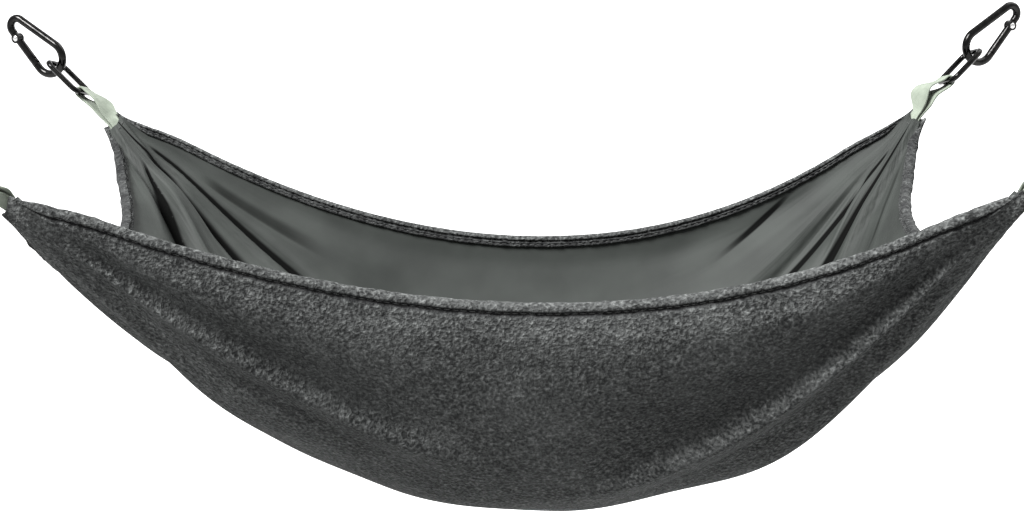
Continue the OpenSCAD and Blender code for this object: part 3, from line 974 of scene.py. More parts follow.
@dataclass(frozen=True)
class WebbingFinish(Finish):
    """Flat woven webbing with ribs across it and smooth selvedges."""

    dark: Colour = (0.138, 0.161, 0.128, 1.0)
    light: Colour = (0.258, 0.292, 0.240, 1.0)
    rib: float = 0.0011
    cord: float = 0.0013

    def dress(self, shop: Shop) -> Wire:
        """Rows of over-and-under yarns.

        Args:
            shop: Builder of the material's node tree.

        Returns:
            The shader.
        """
        across, along = shop.parts(shop.flat())
        warp = (across * (2.0 * math.pi / self.cord)).sine()
        weft = (along * (2.0 * math.pi / self.rib)).sine()
        weave = (warp * weft) * 0.5 + 0.5
        patch = shop.noise(shop.place(), 220.0, 3.0)
        colour = shop.tint((weave * 0.45 + patch * 0.75).step(0.15, 0.85), self.dark, self.light)
        normal = shop.bump(weave, 0.5, 0.00022, shop.bump(patch, 0.15, 0.0006))
        return shop.node("ShaderNodeBsdfPrincipled", None, {
            "Base Color": colour, "Roughness": 0.78, "Normal": normal, "Specular IOR Level": 0.3,
            "Sheen Weight": 0.12, "Sheen Roughness": 0.4})


@dataclass(frozen=True)
class ThreadFinish(Finish):
    """Twisted sewing thread."""

    dark: Colour = (0.020, 0.021, 0.021, 1.0)
    light: Colour = (0.085, 0.088, 0.086, 1.0)
    twist: float = 2600.0

    def dress(self, shop: Shop) -> Wire:
        """A fine fleck along the strands.

        Args:
            shop: Builder of the material's node tree.

        Returns:
            The shader.
        """
        fleck = shop.noise(shop.place(), self.twist, 2.0)
        colour = shop.tint(fleck.step(0.3, 0.7), self.dark, self.light)
        normal = shop.bump(fleck, 0.3, 0.0002)
        return shop.node("ShaderNodeBsdfPrincipled", None, {
            "Base Color": colour, "Roughness": 0.6, "Normal": normal, "Specular IOR Level": 0.35})


@dataclass(frozen=True)
class MetalFinish(Finish):
    """Plated steel with fine handling marks."""

    low: Colour = (0.009, 0.009, 0.009, 1.0)
    high: Colour = (0.024, 0.0235, 0.023, 1.0)
    rough: float = 0.14
    spread: float = 0.14

    def dress(self, shop: Shop) -> Wire:
        """Cloudy plating with small scuffs.

        Args:
            shop: Builder of the material's node tree.

        Returns:
            The shader.
        """
        where = shop.place()
        cloud = shop.noise(where, 160.0, 4.0, 0.6)
        scuff = shop.noise(where, 1400.0, 3.0, 0.65)
        colour = shop.tint((cloud * 0.7 + scuff * 0.3).step(0.32, 0.68), self.low, self.high)
        rough = self.rough + self.spread * scuff.step(0.35, 0.8)
        normal = shop.bump(cloud * 0.6 + scuff * 0.4, 0.10, 0.0005)
        return shop.node("ShaderNodeBsdfPrincipled", None, {
            "Base Color": colour, "Metallic": 1.0, "Roughness": rough, "Normal": normal})


@dataclass(frozen=True)
class FloorFinish(Finish):
    """Pale floor that reads as white paper and keeps a soft shadow."""

    paper: Colour = (0.92, 0.92, 0.92, 1.0)
    bounce: Colour = (0.22, 0.22, 0.22, 1.0)

    def dress(self, shop: Shop) -> Wire:
        """White to the eye and in metal, dim in what it throws back on to the cloth.

        Args:
            shop: Builder of the material's node tree.

        Returns:
            The shader.
        """
        pale = shop.node("ShaderNodeBsdfDiffuse", None, {"Color": self.paper})
        dim = shop.node("ShaderNodeBsdfDiffuse", None, {"Color": self.bounce})
        return shop.node("ShaderNodeMixShader", None, {0: seen_directly(shop), 1: dim, 2: pale})


def seen_directly(shop: Shop) -> Wire:
    """1 for what the eye, a mirror or glass shows, and 0 for light thrown on to a surface.

    Args:
        shop: Builder of the material's node tree.

    Returns:
        A wire with 1 or 0.
    """
    camera = shop.node("ShaderNodeLightPath", output="Is Camera Ray")
    outputs = camera.socket.node.outputs
    glossy = Wire(shop, outputs["Is Glossy Ray"])
    return camera.at_least(glossy).at_least(Wire(shop, outputs["Is Transmission Ray"]))


def dress_piece(piece: bpy.types.Object, material: bpy.types.Material) -> None:
    """Gives a new piece its material.

    Args:
        piece: The piece.
        material: Its material.
    """
    piece.data.materials.clear()
    piece.data.materials.append(material)
    LOG.info("%s: %d faces", piece.name, len(piece.data.polygons))


class HemRing(NamedTuple):
    """One ring of points round the hem.

    Attributes:
        out: Distance out from the cut edge, below 0 on the panel.
        lift: Height above the fleece's inner face.
        bare: Height on the bare edge at the corners, as a share of the fleece's thickness.
        on_pocket: Share of the corner pocket's height that counts.
        puff: How far puckers push the ring, in pucker heights.
        crease: How far painted shade darkens the ring, from 0 to 1, partly for pile pressed by the seams.
    """

    out: float
    lift: float
    bare: float
    on_pocket: float = 0.0
    puff: float = 0.0
    crease: float = 0.0


@dataclass
class Sling:
    """The two sewn panels, with the hem turned over the lining."""

    form: SlingForm = field(default_factory=SlingForm)
    fleece_thick: float = 0.0020
    lining_thick: float = 0.0008
    layer_gap: float = 0.0003
    flap_under: float = 0.0016
    flap_width: float = 0.0062
    row_in: float = 0.0027
    roll_half: float = 0.0033
    roll_out: float = 0.0010
    roll_in: float = 0.0016
    roll_turns: int = 13
    roll_wrap: float = 1.16 * math.pi
    groove_rings: int = 6
    bare_bulge: float = 0.0008
    seam_in: float = 0.0038
    second_seam_in: float = 0.0048
    pucker: float = 0.0004
    pocket_height: float = 0.0048
    pocket_full: float = 0.034
    pocket_end: float = 0.0748
    slack: float = 0.0105
    taut_share: float = 0.35
    long_steps: int = 180
    short_steps: int = 124
    mouth_steps: int = 20
    face_rings: int = 64
    lining_rings: int = 74
    face_inset: float = 0.0092

    def __post_init__(self) -> None:
        """Works out the columns round the edge."""
        self.outline = Outline.around(self.form, self.long_steps, self.short_steps, self.mouth_steps)
        self.flap_top = self.flap_under + self.fleece_thick
        edge = self.form.cloth(self.outline.u, self.outline.v, 0.0)
        along = np.roll(edge, -1, axis=0) - np.roll(edge, 1, axis=0)
        self.outward = unit(np.cross(along, self.form.normal(self.outline.u, self.outline.v)))

    def pocket(self, u: Array, v: Array) -> Array:
        """Room between the panels at a corner for the webbing's two tails.

        Args:
            u: Place along X, from -1 to 1.
            v: Place along Y, from -1 to 1.

        Returns:
            Height in metres.
        """
        form = self.form
        along, across = (1.0 - np.abs(u)) * form.half_length, (1.0 - np.abs(v)) * form.half_width
        deep = (along + across - form.corner_leg) / math.sqrt(2.0)
        side = np.abs(along - across) / math.sqrt(2.0)
        wide = 1.0 - ease(side, form.corner_leg * 0.53, form.corner_leg * 0.74)
        return self.pocket_height * (1.0 - ease(deep, self.pocket_full, self.pocket_end)) * wide

    def creases(self, u: Array, v: Array) -> Array:
        """How deep in a crease of the lining each place lies, from 0 to 1.

        Args:
            u: Place along X, from -1 to 1.
            v: Place along Y, from -1 to 1.

        Returns:
            The depths.
        """
        open_share = np.ones_like(u)
        for valley in VALLEYS:
            strength = valley.strength(*self.form.polar(valley.corner, u, v))
            open_share = open_share * (1.0 - np.clip(strength, 0.0, 1.0))
        return 1.0 - open_share

    def lining_lift(self, u: Array, v: Array) -> Array:
        """Height of the lining's lower face above the fleece.

        Args:
            u: Place along X, from -1 to 1.
            v: Place along Y, from -1 to 1.

        Returns:
            Height in metres.
        """
        form = self.form
        edge = np.minimum((1.0 - np.abs(u)) * form.half_length, (1.0 - np.abs(v)) * form.half_width)
        free = ease(edge, 0.7 * self.flap_width, 0.7 * self.flap_width + 0.014)
        loose = np.zeros_like(u)
        for corner in Corner:
            reach, _ = form.polar(corner, u, v)
            share = self.taut_share if corner is Corner.BACK_RIGHT else 1.0
            loose = loose + share * ease(reach, 0.026, 0.060) * (1.0 - ease(reach, 0.110, 0.230))
        swell = self.slack * np.minimum(loose, 1.0) * free * (1.0 - self.creases(u, v))
        return self.layer_gap + self.pocket(u, v) + swell

    def face_shares(self, rings: int) -> Array:
        """Ring sizes on a panel's face, from the middle to just inside the hem."""
        t = np.arange(1, rings + 1) / rings
        return 1.0 - (1.0 - t) ** 1.25

    def hem_point(self, ring: HemRing) -> Row:
        """Points of one ring of the hem, and their places along X and Y.

        Args:
            ring: The ring.

        Returns:
            The points, then u and v.
        """
        form, line = self.form, self.outline
        u, v = line.inset(form, np.maximum(-ring.out, 0.0) * line.share)
        uneven = self.pucker * ring.puff * ripple(line.run, (0.0075, 0.0123, 0.031), 3.0) * line.share
        whole = ring.lift + ring.on_pocket * self.pocket(u, v) + uneven
        height = line.share * whole + (1.0 - line.share) * (-self.fleece_thick * ring.bare)
        bulge = self.bare_bulge * math.sin(math.pi * ring.bare) * (1.0 - line.share)
        step = max(ring.out, 0.0) * line.share + bulge
        return form.cloth(u, v, height) + self.outward * step[:, None], u, v

    def hem_rings(self) -> List[HemRing]:
        """The hem's rings: the seam's groove, the puffed roll, then the flap inside.

        Returns:
            The rings, from the outer face round to the inner one.
        """
        seam, thick, top, under = self.seam_in, self.fleece_thick, self.flap_top, self.flap_under
        # The last number of a ring is its painted shade, dark in the seam's groove.
        groove = [
            HemRing(-seam - 0.0040, -thick - 0.0003, 1.0, 0.0, 0.3),
            HemRing(-seam - 0.0022, -thick - 0.0004, 1.0, 0.0, 0.6),
            HemRing(-seam - 0.0012, -thick + 0.0004, 1.0, 0.0, 0.2, 0.75),
            HemRing(-seam - 0.0004, -thick + 0.0014, 1.0, 0.0, 0.0, 1.0),
            HemRing(-seam + 0.0005, -thick + 0.0016, 1.0, 0.0, 0.0, 1.0),
            HemRing(-seam + 0.0012, -thick + 0.0004, 1.0, 0.0, 0.0, 0.9),
        ]
        roll, turns = [], self.roll_turns
        for k in range(turns):
            angle = self.roll_wrap * (k / (turns - 1) - 0.5)
            out = -self.roll_in + (self.roll_out + self.roll_in) * math.cos(angle)
            lift = 0.5 * (top - thick) + self.roll_half * math.sin(angle)
            puff = 1.0 if k < turns / 2 else -1.0
            # Painted shade where the roll turns into the groove and the flap.
            crease = 0.35 if k in (0, turns - 1) else 0.0
            roll.append(HemRing(out, lift, 1.0 - 0.5 * (k + 1) / turns, (k + 0.5) / turns, puff, crease))
        row, second, flap = self.row_in, self.second_seam_in, self.flap_width
        # Painted shade in the flap's stitch rows and along its edge.
        return groove + roll + [
            HemRing(-row + 0.0006, top - 0.0002, 0.48, 1.0, 0.0, 0.6),
            HemRing(-row, top - 0.0012, 0.46, 1.0, 0.0, 1.0),
            HemRing(-row - 0.0007, top - 0.0003, 0.44, 1.0, 0.3, 0.5),
            HemRing(-0.5 * (row + second), top + 0.0002, 0.42, 1.0, 0.9),
            HemRing(-second + 0.0005, top - 0.0002, 0.40, 1.0, 0.3, 0.4),
            HemRing(-second, top - 0.0010, 0.38, 1.0, 0.0, 0.9),
            HemRing(-second - 0.0006, top - 0.0003, 0.36, 1.0, 0.4, 0.4),
            HemRing(-flap + 0.0006, top - 0.0002, 0.34, 1.0, 1.0),
            HemRing(-flap, top - 0.0010, 0.30, 1.0, 0.8, 0.2),
            HemRing(-flap, under + 0.0002, 0.25, 1.0, 0.4, 0.8),
            HemRing(-0.0055, under, 0.20, 1.0),
            HemRing(-0.0015, under, 0.15, 1.0),
            HemRing(-0.0008, 0.5 * under, 0.10, 0.5),
            HemRing(-0.0015, 0.0, 0.05),
        ]

    def outer_panel(self) -> bpy.types.Object:
        """Builds the fleece: outer face, seam groove, puffed roll, flap inside, inner face.

        Returns:
            The new object.
        """
        form, line, thick = self.form, self.outline, self.fleece_thick
        skin = Skin(form, line)
        base_u, base_v = line.inset(form, self.face_inset)
        for share in self.face_shares(self.face_rings):
            u, v = base_u * share, base_v * share
            skin.ring(form.cloth(u, v, -thick), u, v)
        # Painted shadow: pucker blots darken the roll and flap on the short ends, and the whole flap inside
        # is darkened with blots.
        pucker_shadows = ease(ripple(line.run, (0.0087, 0.0141, 0.0233), 5.0), -0.3, 0.9)
        at_ends = ease(np.abs(line.u), 0.985, 0.999)
        for k, ring in enumerate(self.hem_rings()):
            hem_shaded = at_ends * (0.50 + 0.50 * pucker_shadows) * (k > self.groove_rings)
            if k > self.groove_rings + self.roll_turns:
                hem_shaded = 0.45 + 0.55 * pucker_shadows
            skin.ring(*self.hem_point(ring), np.maximum(ring.crease, hem_shaded) * line.share)
        for share in self.face_shares(self.face_rings)[::-1]:
            u, v = base_u * share, base_v * share
            skin.ring(form.cloth(u, v, 0.0), u, v)
        zero = np.zeros(1)
        piece = skin.mesh("fleece_panel", form.cloth(zero, zero, -thick)[0], form.cloth(zero, zero, 0.0)[0])
        self.mark_pleats(piece, skin.u, skin.v)
        return piece

    def mark_pleats(self, piece: bpy.types.Object, u: Array, v: Array) -> None:
        """Writes the place across the nearest pleat, and how far it is there, on every point.

        Args:
            piece: The fleece.
            u: Its points' places along X.
            v: Their places along Y.
        """
        which, reach, fan = self.form.nearest(u, v)
        places, shares = np.full(len(u), 4.0), np.zeros(len(u))
        for pleat in PLEATS:
            near = which == list(Corner).index(pleat.corner)
            places[near] = np.clip(pleat.place(reach[near], fan[near]), -3.0, 4.0)
            shares[near] = pleat.presence(reach[near], fan[near]) * (1.0 - ease(reach[near], 0.18, 0.27))
        set_attribute(piece, "pleat_place", places)
        set_attribute(piece, "pleat_share", shares)

    def inner_panel(self) -> bpy.types.Object:
        """Builds the lining: a thin sheet that swells between its creases and ends under the hem.

        Returns:
            The new object.
        """
        form, line = self.form, self.outline
        skin = Skin(form, line)
        base_u, base_v = line.inset(form, self.face_inset)
        places = [(base_u * share, base_v * share) for share in self.face_shares(self.lining_rings)]
        places += [line.inset(form, 0.0050), line.inset(form, 0.0020)]
        for places_on_face, level in ((places, 0.0), (places[::-1], 1.0)):
            for u, v in places_on_face:
                skin.ring(form.cloth(u, v, self.lining_lift(u, v) + level * self.lining_thick), u, v)
        zero = np.zeros(1)
        low = form.cloth(zero, zero, self.lining_lift(zero, zero))[0]
        high = form.cloth(zero, zero, self.lining_lift(zero, zero) + self.lining_thick)[0]
        piece = skin.mesh("lining_panel", low, high)
        self.mark_creases(piece, skin.u, skin.v)
        return piece

    def mark_creases(self, piece: bpy.types.Object, u: Array, v: Array) -> None:
        """Writes the distance from the nearest corner's creases, and how far each is there, on every point.

        Args:
            piece: The lining.
            u: Its points' places along X.
            v: Their places along Y.
        """
        which, reach, fan = self.form.nearest(u, v)
        offsets, shares = np.full((CREASE_SLOTS, len(u)), 9.0), np.zeros((CREASE_SLOTS, len(u)))
        for number, corner in enumerate(Corner):
            near = which == number
            for slot, valley in enumerate(valley for valley in VALLEYS if valley.corner is corner):
                offsets[slot, near] = np.clip(valley.offset(reach[near], fan[near]), -9.0, 9.0)
                shares[slot, near] = valley.presence(reach[near])
        for slot in range(CREASE_SLOTS):
            set_attribute(piece, "crease_offset_%d" % slot, offsets[slot])
            set_attribute(piece, "crease_share_%d" % slot, shares[slot])


@dataclass
class Stitching:
    """Rows of sewing thread: two on the hem inside, one in the groove outside, and rows over the tails."""

    sling: Sling
    length: float = 0.0034
    pitch: float = 0.0043
    thick: float = 0.0007
    segments: int = 6
    rings: int = 4
    corner_row_in: float = 0.004
    corner_row_ends: Tuple[float, float] = (0.24, 0.76)
    corner_row_points: int = 24
    above: float = 0.0001

    def one_stitch(self) -> Tuple[Array, List[Array]]:
        """Models one stitch along X, arched over the cloth.

        Returns:
            Its points and its faces.
        """
        bpy.ops.object.select_all(action="DESELECT")
        bpy.ops.mesh.primitive_uv_sphere_add(segments=self.segments, ring_count=self.rings, radius=0.5)
        stitch = bpy.context.object
        bpy.ops.object.mode_set(mode="EDIT")
        bpy.ops.mesh.select_all(action="SELECT")
        bpy.ops.transform.rotate(value=math.pi / 2.0, orient_axis="Y", center_override=(0.0, 0.0, 0.0))
        bpy.ops.transform.resize(value=(self.length, self.thick, self.thick), center_override=(0.0, 0.0, 0.0))
        bpy.ops.object.mode_set(mode="OBJECT")
        points = np.array([p.co for p in stitch.data.vertices])
        faces = [np.array([list(f.vertices)]) for f in stitch.data.polygons]
        mesh = stitch.data
        bpy.data.objects.remove(stitch)
        bpy.data.meshes.remove(mesh)
        return points, faces

    def along(self, line: Array, up: Array, keep: Array) -> Row:
        """Spaces stitches along a row.

        Args:
            line: The row's points.
            up: The cloth's outward direction at them.
            keep: Share at them, below a half where no stitch goes.

        Returns:
            The stitches' middles, directions and upward directions.
        """
        run = np.concatenate([[0.0], np.cumsum(np.linalg.norm(np.diff(line, axis=0), axis=1))])
        spots = np.arange(self.pitch / 2.0, run[-1], self.pitch)
        spots = spots[np.interp(spots, run, keep) > 0.5]

        def at(where: Array, values: Array) -> Array:
            """Vectors at distances along the row."""
            return np.stack([np.interp(where, run, values[:, k]) for k in range(3)], -1)

        step = 0.001
        way = at(spots + step, line) - at(spots - step, line)
        return at(spots, line), unit(way), unit(at(spots, up))

    def hem_rows(self) -> List[Row]:
        """Rows on the flap inside and in the groove outside.

        Returns:
            The rows' stitches.
        """
        sling, line, form = self.sling, self.sling.outline, self.sling.form
        rows, top = [], sling.flap_top
        for ring, side in ((HemRing(-sling.row_in, top - 0.0008, 0.46, 1.0), 1.0),
                           (HemRing(-sling.second_seam_in, top - 0.0006, 0.38, 1.0), 1.0),
                           (HemRing(-sling.seam_in, -sling.fleece_thick + 0.0012, 1.0), -1.0)):
            points, u, v = sling.hem_point(ring)
            rows.append(self.along(points, side * form.normal(u, v), line.share))
        return rows

    def corner_rows(self) -> List[Row]:
        """Rows straight across the webbing's tails, through both panels.

        Returns:
            The rows' stitches.
        """
        sling, form, rows = self.sling, self.sling.form, []
        leg = form.corner_leg + self.corner_row_in * math.sqrt(2.0)
        t = np.linspace(*self.corner_row_ends, self.corner_row_points)
        for corner in Corner:
            u = corner.value[0] * (1.0 - t * leg / form.half_length)
            v = corner.value[1] * (1.0 - (1.0 - t) * leg / form.half_width)
            up = form.normal(u, v)
            high = sling.lining_lift(u, v) + sling.lining_thick + self.above
            rows.append(self.along(form.cloth(u, v, high), up, np.ones_like(t)))
            rows.append(self.along(form.cloth(u, v, -sling.fleece_thick), -up, np.ones_like(t)))
        return rows

    def build(self, name: str, rows: Sequence[Row]) -> bpy.types.Object:
        """Copies the stitch along rows into one piece.

        Args:
            name: The piece's name.
            rows: Middles, directions and upward directions.

        Returns:
            The new object.
        """
        shape, faces = self.one_stitch()
        points, all_faces = [], []
        for middles, ways, ups in rows:
            sides = unit(np.cross(ups, ways))
            ups = np.cross(ways, sides)
            for middle, way, side, up in zip(middles, ways, sides, ups):
                first = len(points) * len(shape)
                points.append(middle + shape[:, :1] * way + shape[:, 1:2] * side + shape[:, 2:] * up)
                all_faces += [face + first for face in faces]
        return new_piece(name, np.concatenate(points), all_faces)


class Station(NamedTuple):
    """A cross-section of the webbing, with how far each of its points is bowed off the straight."""

    middle: Array
    way: Array
    across: Array
    width: float
    bow: Array


@dataclass
class WebbingLoop:
    """A loop of webbing at one corner: two tails between the panels, two legs and a bend round the link."""

    corner: Corner
    sling: Sling
    width: float = 0.016
    mouth_half: float = 0.0122
    pinch_width: float = 0.013
    pinch_least: float = 0.001
    thick: float = 0.0015
    tail_length: float = 0.020
    pocket_gap: float = 0.0007
    bend: float = 0.0028
    slack: float = 0.002
    low_slack: float = 0.55
    tail_steps: int = 8
    leg_steps: int = 26
    bend_steps: int = 18

    def __post_init__(self) -> None:
        """Reads the link's lower bar and the pull direction from the part's joints."""
        self.pinch_width = min(self.width - self.pinch_least, self.pinch_width)
        joints = {joint["name"]: joint for joint in frame["joints"]}
        swing = joints["link_swing_" + self.corner.tag]
        self.bar = np.array(swing["pos_m"])
        self.bar_along = unit(np.array(swing["axis"]))
        self.pull = unit(np.array(joints["clip_tilt_" + self.corner.tag]["pos_m"]) - self.bar)
        form = self.sling.form
        c = self.corner.value
        mid_u = c[0] * (1.0 - form.corner_leg / form.half_length / 2.0)
        mid_v = c[1] * (1.0 - form.corner_leg / form.half_width / 2.0)
        self.mouth_up = form.normal(np.array(mid_u), np.array(mid_v))
        bend_up = np.cross(self.pull, self.bar_along)
        self.bend_up = bend_up if bend_up @ self.mouth_up > 0.0 else -bend_up

    def tail(self, deep: float, lift: float, way: float) -> Station:
        """A station of a tail, which lies on the sheet across its whole width.

        Args:
            deep: Distance in from the mouth.
            lift: Height above the fleece.
            way: 1 to run inwards, -1 to run outwards.

        Returns:
            The station.
        """
        form, c, step = self.sling.form, self.corner.value, 0.002

        def at(d: float, side: Union[float, Array] = 0.0) -> Array:
            """Points of the sheet, some way aside from the diagonal.

            Args:
                d: Distance in from the mouth.
                side: Distance aside from the diagonal.

            Returns:
                The points in the part's frame.
            """
            run = 0.5 * form.corner_leg + d / math.sqrt(2.0)
            u = c[0] * (1.0 - (run + side / math.sqrt(2.0)) / form.half_length)
            return form.cloth(u, c[1] * (1.0 - (run - side / math.sqrt(2.0)) / form.half_width), lift)

        middle, span = at(deep), at(deep, -step) - at(deep, step)
        turn = 1.0 if span @ self.bar_along > 0.0 else -1.0
        across = turn * unit(span)
        shares, width = self.section()[:, 0], self.mouth_half * float(np.linalg.norm(span)) / step
        bow = at(deep, shares * (-turn * self.mouth_half)) - middle - shares[:, None] * across * width / 2.0
        return Station(middle, way * unit(at(deep + step) - middle), across, width, bow)

    def leg(self, lift: float, side: float, loose: float, t: float) -> Station:
        """A station of a leg.

        Args:
            lift: Height of its tail above the fleece.
            side: 1 for the upper leg, -1 for the lower one.
            loose: How far the leg swells.
            t: Share of the way from the mouth to the link.

        Returns:
            The station.
        """
        start, way0, wide0, narrow, bow = self.tail(0.0, lift, -1.0)
        end = self.bar + side * self.bend * self.bend_up
        far = np.linalg.norm(end - start)

        def at(x: float) -> Array:
            """The leg's middle line.

            Args:
                x: Share of the way from the mouth to the link.

            Returns:
                The points in the part's frame.
            """
            q = 1.0 - x
            line = start * q * q * (1.0 + 2.0 * x) + end * x * x * (3.0 - 2.0 * x)
            return line + way0 * far * x * q * q - self.pull * far * x * x * q

        h = 0.02
        way = unit(at(t + h) - at(t - h))
        turn = float(ease(t, 0.0, 1.0))
        wide = wide0 + (self.bar_along - wide0) * turn
        swell = loose * math.sin(math.pi * t) ** 2 * self.bend_up
        bow = bow * (1.0 - float(ease(t, 0.0, 0.5)))
        width = self.width + (self.pinch_width - self.width) * float(ease(t, 0.4, 1.0))
        width = narrow + (width - narrow) * float(ease(t, 0.0, 0.4))
        return Station(at(t) + swell, -side * way, unit(wide - (wide @ way) * way), width, bow)

    def stations(self) -> List[Station]:
        """All stations, from the lower tail's end round the link to the upper tail's end.

        Returns:
            The stations in order.
        """
        low = self.pocket_gap + self.thick / 2.0
        high = low + self.pocket_gap + self.thick
        deep = [self.tail_length * i / self.tail_steps for i in range(self.tail_steps + 1)]
        found = [self.tail(d, low, -1.0) for d in reversed(deep)]
        shares = [i / self.leg_steps for i in range(1, self.leg_steps)]
        found += [self.leg(low, -1.0, self.low_slack * self.slack, t) for t in shares]
        for i in range(self.bend_steps + 1):
            angle = math.pi * (i / self.bend_steps - 0.5)
            out = math.cos(angle) * self.pull + math.sin(angle) * self.bend_up
            way = math.cos(angle) * self.bend_up - math.sin(angle) * self.pull
            middle = self.bar + self.bend * out
            found.append(Station(middle, way, self.bar_along, self.pinch_width, np.zeros(3)))
        found += [self.leg(high, 1.0, self.slack, t) for t in reversed(shares)]
        return found + [self.tail(d, high, 1.0) for d in deep]

    def section(self) -> Array:
        """The webbing's section as shares of half its width and thickness, with full round selvedges.

        Returns:
            Pairs of shares, in order round the section.
        """
        flat = np.linspace(-0.94, 0.94, 9)
        top = [(x, 1.0 - 0.16 * math.cos(3.0 * math.pi * x) ** 2) for x in flat]
        right = [(0.98, 0.75), (1.0, 0.0), (0.98, -0.75)]
        low = [(x, -y) for x, y in reversed(top)]
        left = [(-x, -y) for x, y in right]
        return np.array(top + right + low + left)

    def build(self) -> bpy.types.Object:
        """Sweeps the section over the stations.

        Returns:
            The new object.
        """
        section = self.section()
        count = len(section)
        points, flat, run, last = [], [], 0.0, None
        for middle, way, across, width, bow in self.stations():
            run += 0.0 if last is None else float(np.linalg.norm(middle - last))
            last = middle
            thick = unit(np.cross(across, way))
            flesh = section[:, 1:] * thick * self.thick / 2.0
            points.append(middle + section[:, :1] * across * width / 2.0 + flesh + bow)
            flat.append(np.stack([section[:, 0] * width / 2.0, np.full(count, run)], -1))
        rows = len(points)
        j = np.arange(count)
        caps = [np.array([j[::-1]]), np.array([(rows - 1) * count + j])]
        faces = [ring_quads(rows, count), *caps]
        piece = new_piece("webbing_" + self.corner.tag, np.concatenate(points), faces)
        set_uv(piece, np.concatenate(flat))
        mend_normals(piece)
        return piece


def mend_normals(piece: bpy.types.Object) -> None:
    """Makes a closed piece's faces point outwards.

    Args:
        piece: The piece.
    """
    bpy.ops.object.select_all(action="DESELECT")
    piece.select_set(True)
    bpy.context.view_layer.objects.active = piece
    bpy.ops.object.mode_set(mode="EDIT")
    bpy.ops.mesh.select_all(action="SELECT")
    bpy.ops.mesh.normals_make_consistent(inside=False)
    bpy.ops.object.mode_set(mode="OBJECT")


@dataclass
class Fittings:
    """The metal pieces, which keep their shape and get their finish here."""

    plated: MetalFinish = MetalFinish("black_nickel_plate")
    bright: MetalFinish = MetalFinish(
        "bright_steel", (0.34, 0.34, 0.34, 1.0), (0.55, 0.55, 0.54, 1.0), 0.24, 0.16)
    plated_kinds: Tuple[str, ...] = ("link_", "carabiner_", "gate_")
    bright_kinds: Tuple[str, ...] = ("rivet_", "spring_", "plunger_")

    def dress(self) -> None:
        """Assigns the finishes to the part's own objects."""
        for kinds, finish in ((self.plated_kinds, self.plated), (self.bright_kinds, self.bright)):
            material = finish.material()
            for name, node in frame["nodes"].items():
                if name.startswith(kinds):
                    node.data.materials.clear()
                    node.data.materials.append(material)
                    LOG.info("%s: %s", name, finish.name)


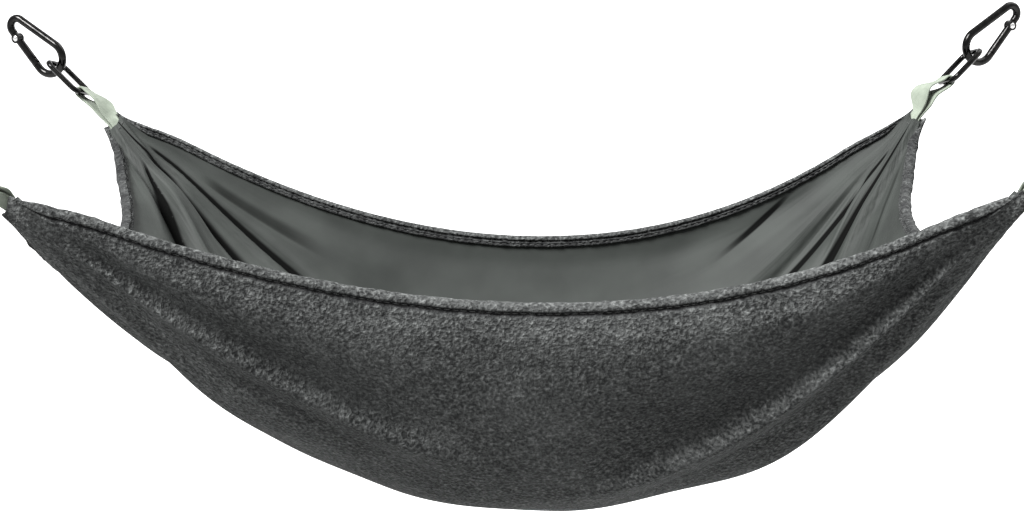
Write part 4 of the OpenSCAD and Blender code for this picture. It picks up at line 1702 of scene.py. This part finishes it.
@dataclass
class Studio:
    """Floor, light and camera."""

    floor_height: float = -0.45
    floor_size: float = 60.0
    sky: float = 0.27
    key_strength: float = 8.6
    key_spread: float = 24.0
    key_from: Place = (-1.5, -1.5, 2.45)
    top_watts: float = 40.0
    top_size: float = 1.8
    top_place: Place = (1.0, 0.6, 1.8)
    aim: Place = (0.0, 0.0, 0.12)
    eye: Place = (-0.001, -1.417, 0.4017)
    pitch: float = 10.42
    yaw: float = 0.07
    roll: float = -0.74
    lens: float = 90.2
    sensor: float = 36.0

    def lamp(self, name: str, kind: str, place: Place, energy: float) -> bpy.types.Light:
        """Adds one light that points at the sling.

        Args:
            name: The light's name.
            kind: Its type.
            place: Where it stands.
            energy: Its strength or power.

        Returns:
            The light.
        """
        lamp = bpy.data.lights.new(name, kind)
        lamp.energy = energy
        holder = bpy.data.objects.new(name, lamp)
        holder.location = place
        holder.rotation_euler = (Vector(self.aim) - Vector(place)).to_track_quat("-Z", "Y").to_euler()
        bpy.context.scene.collection.objects.link(holder)
        return lamp

    def floor(self) -> None:
        """Adds the pale floor."""
        bpy.ops.object.select_all(action="DESELECT")
        bpy.ops.mesh.primitive_plane_add(size=self.floor_size, location=(0.0, 0.0, self.floor_height))
        floor = bpy.context.object
        floor.name = "floor"
        floor.data.materials.append(FloorFinish("pale_floor").material())

    def world(self) -> None:
        """Sets an even sky, which shows as white."""
        world = bpy.data.worlds.new("studio")
        world.use_nodes = True
        shop = Shop(world.node_tree)
        strength = self.sky + (1.0 - self.sky) * seen_directly(shop)
        white = (1.0, 1.0, 1.0, 1.0)
        sky = shop.node("ShaderNodeBackground", None, {"Color": white, "Strength": strength})
        shop.node("ShaderNodeOutputWorld", None, {"Surface": sky})
        bpy.context.scene.world = world

    def camera(self) -> None:
        """Adds the camera at the photographed angle."""
        eye = bpy.data.cameras.new("camera")
        eye.lens = self.lens
        eye.sensor_width = self.sensor
        eye.sensor_fit = "HORIZONTAL"
        holder = bpy.data.objects.new("camera", eye)
        turn = Matrix.Rotation(math.radians(self.yaw), 4, "Z")
        turn = turn @ Matrix.Rotation(math.radians(90.0 - self.pitch), 4, "X")
        turn = turn @ Matrix.Rotation(math.radians(self.roll), 4, "Z")
        holder.matrix_world = Matrix.Translation(self.eye) @ turn
        bpy.context.scene.collection.objects.link(holder)
        bpy.context.scene.camera = holder

    def build(self) -> None:
        """Sets everything up."""
        bpy.context.scene.view_settings.view_transform = "Standard"
        self.camera()
        self.floor()
        self.world()
        self.lamp("key", "SUN", self.key_from, self.key_strength).angle = math.radians(self.key_spread)
        self.lamp("top", "AREA", self.top_place, self.top_watts).size = self.top_size


def main() -> None:
    """Builds and dresses every piece."""
    logging.basicConfig(level=logging.INFO)
    Studio().build()
    sling = Sling()
    form = sling.form
    stitching = Stitching(sling)
    fleece, lining = sling.outer_panel(), sling.inner_panel()
    hem_thread = stitching.build("hem_stitching", stitching.hem_rows())
    corner_thread = stitching.build("corner_stitching", stitching.corner_rows())
    dress_piece(fleece, FleeceFinish("fleece_pile").material())
    dress_piece(lining, LiningFinish("woven_lining").material())
    thread = ThreadFinish("sewing_thread").material()
    for piece in (hem_thread, corner_thread):
        dress_piece(piece, thread)
        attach(piece, SLING_BODY)
    webbing = WebbingFinish("sage_webbing").material()
    for corner in Corner:
        width = LOOP_WIDTH.get(corner, WebbingLoop.width)
        loop = WebbingLoop(corner, sling, width, slack=LOOP_SLACK.get(corner, WebbingLoop.slack)).build()
        dress_piece(loop, webbing)
        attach(loop, SLING_BODY)
        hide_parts("webbing_loop_" + corner.tag)
    for piece, node in ((fleece, "outer_panel"), (lining, "inner_panel")):
        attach(piece, SLING_BODY)
        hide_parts(node)
    flat = (2.0 * form.half_width, 2.0 * form.half_length)
    cut = flat[0] * flat[1] - 2.0 * form.corner_leg ** 2
    Fittings().dress()


if __name__ == "__main__":
    main()
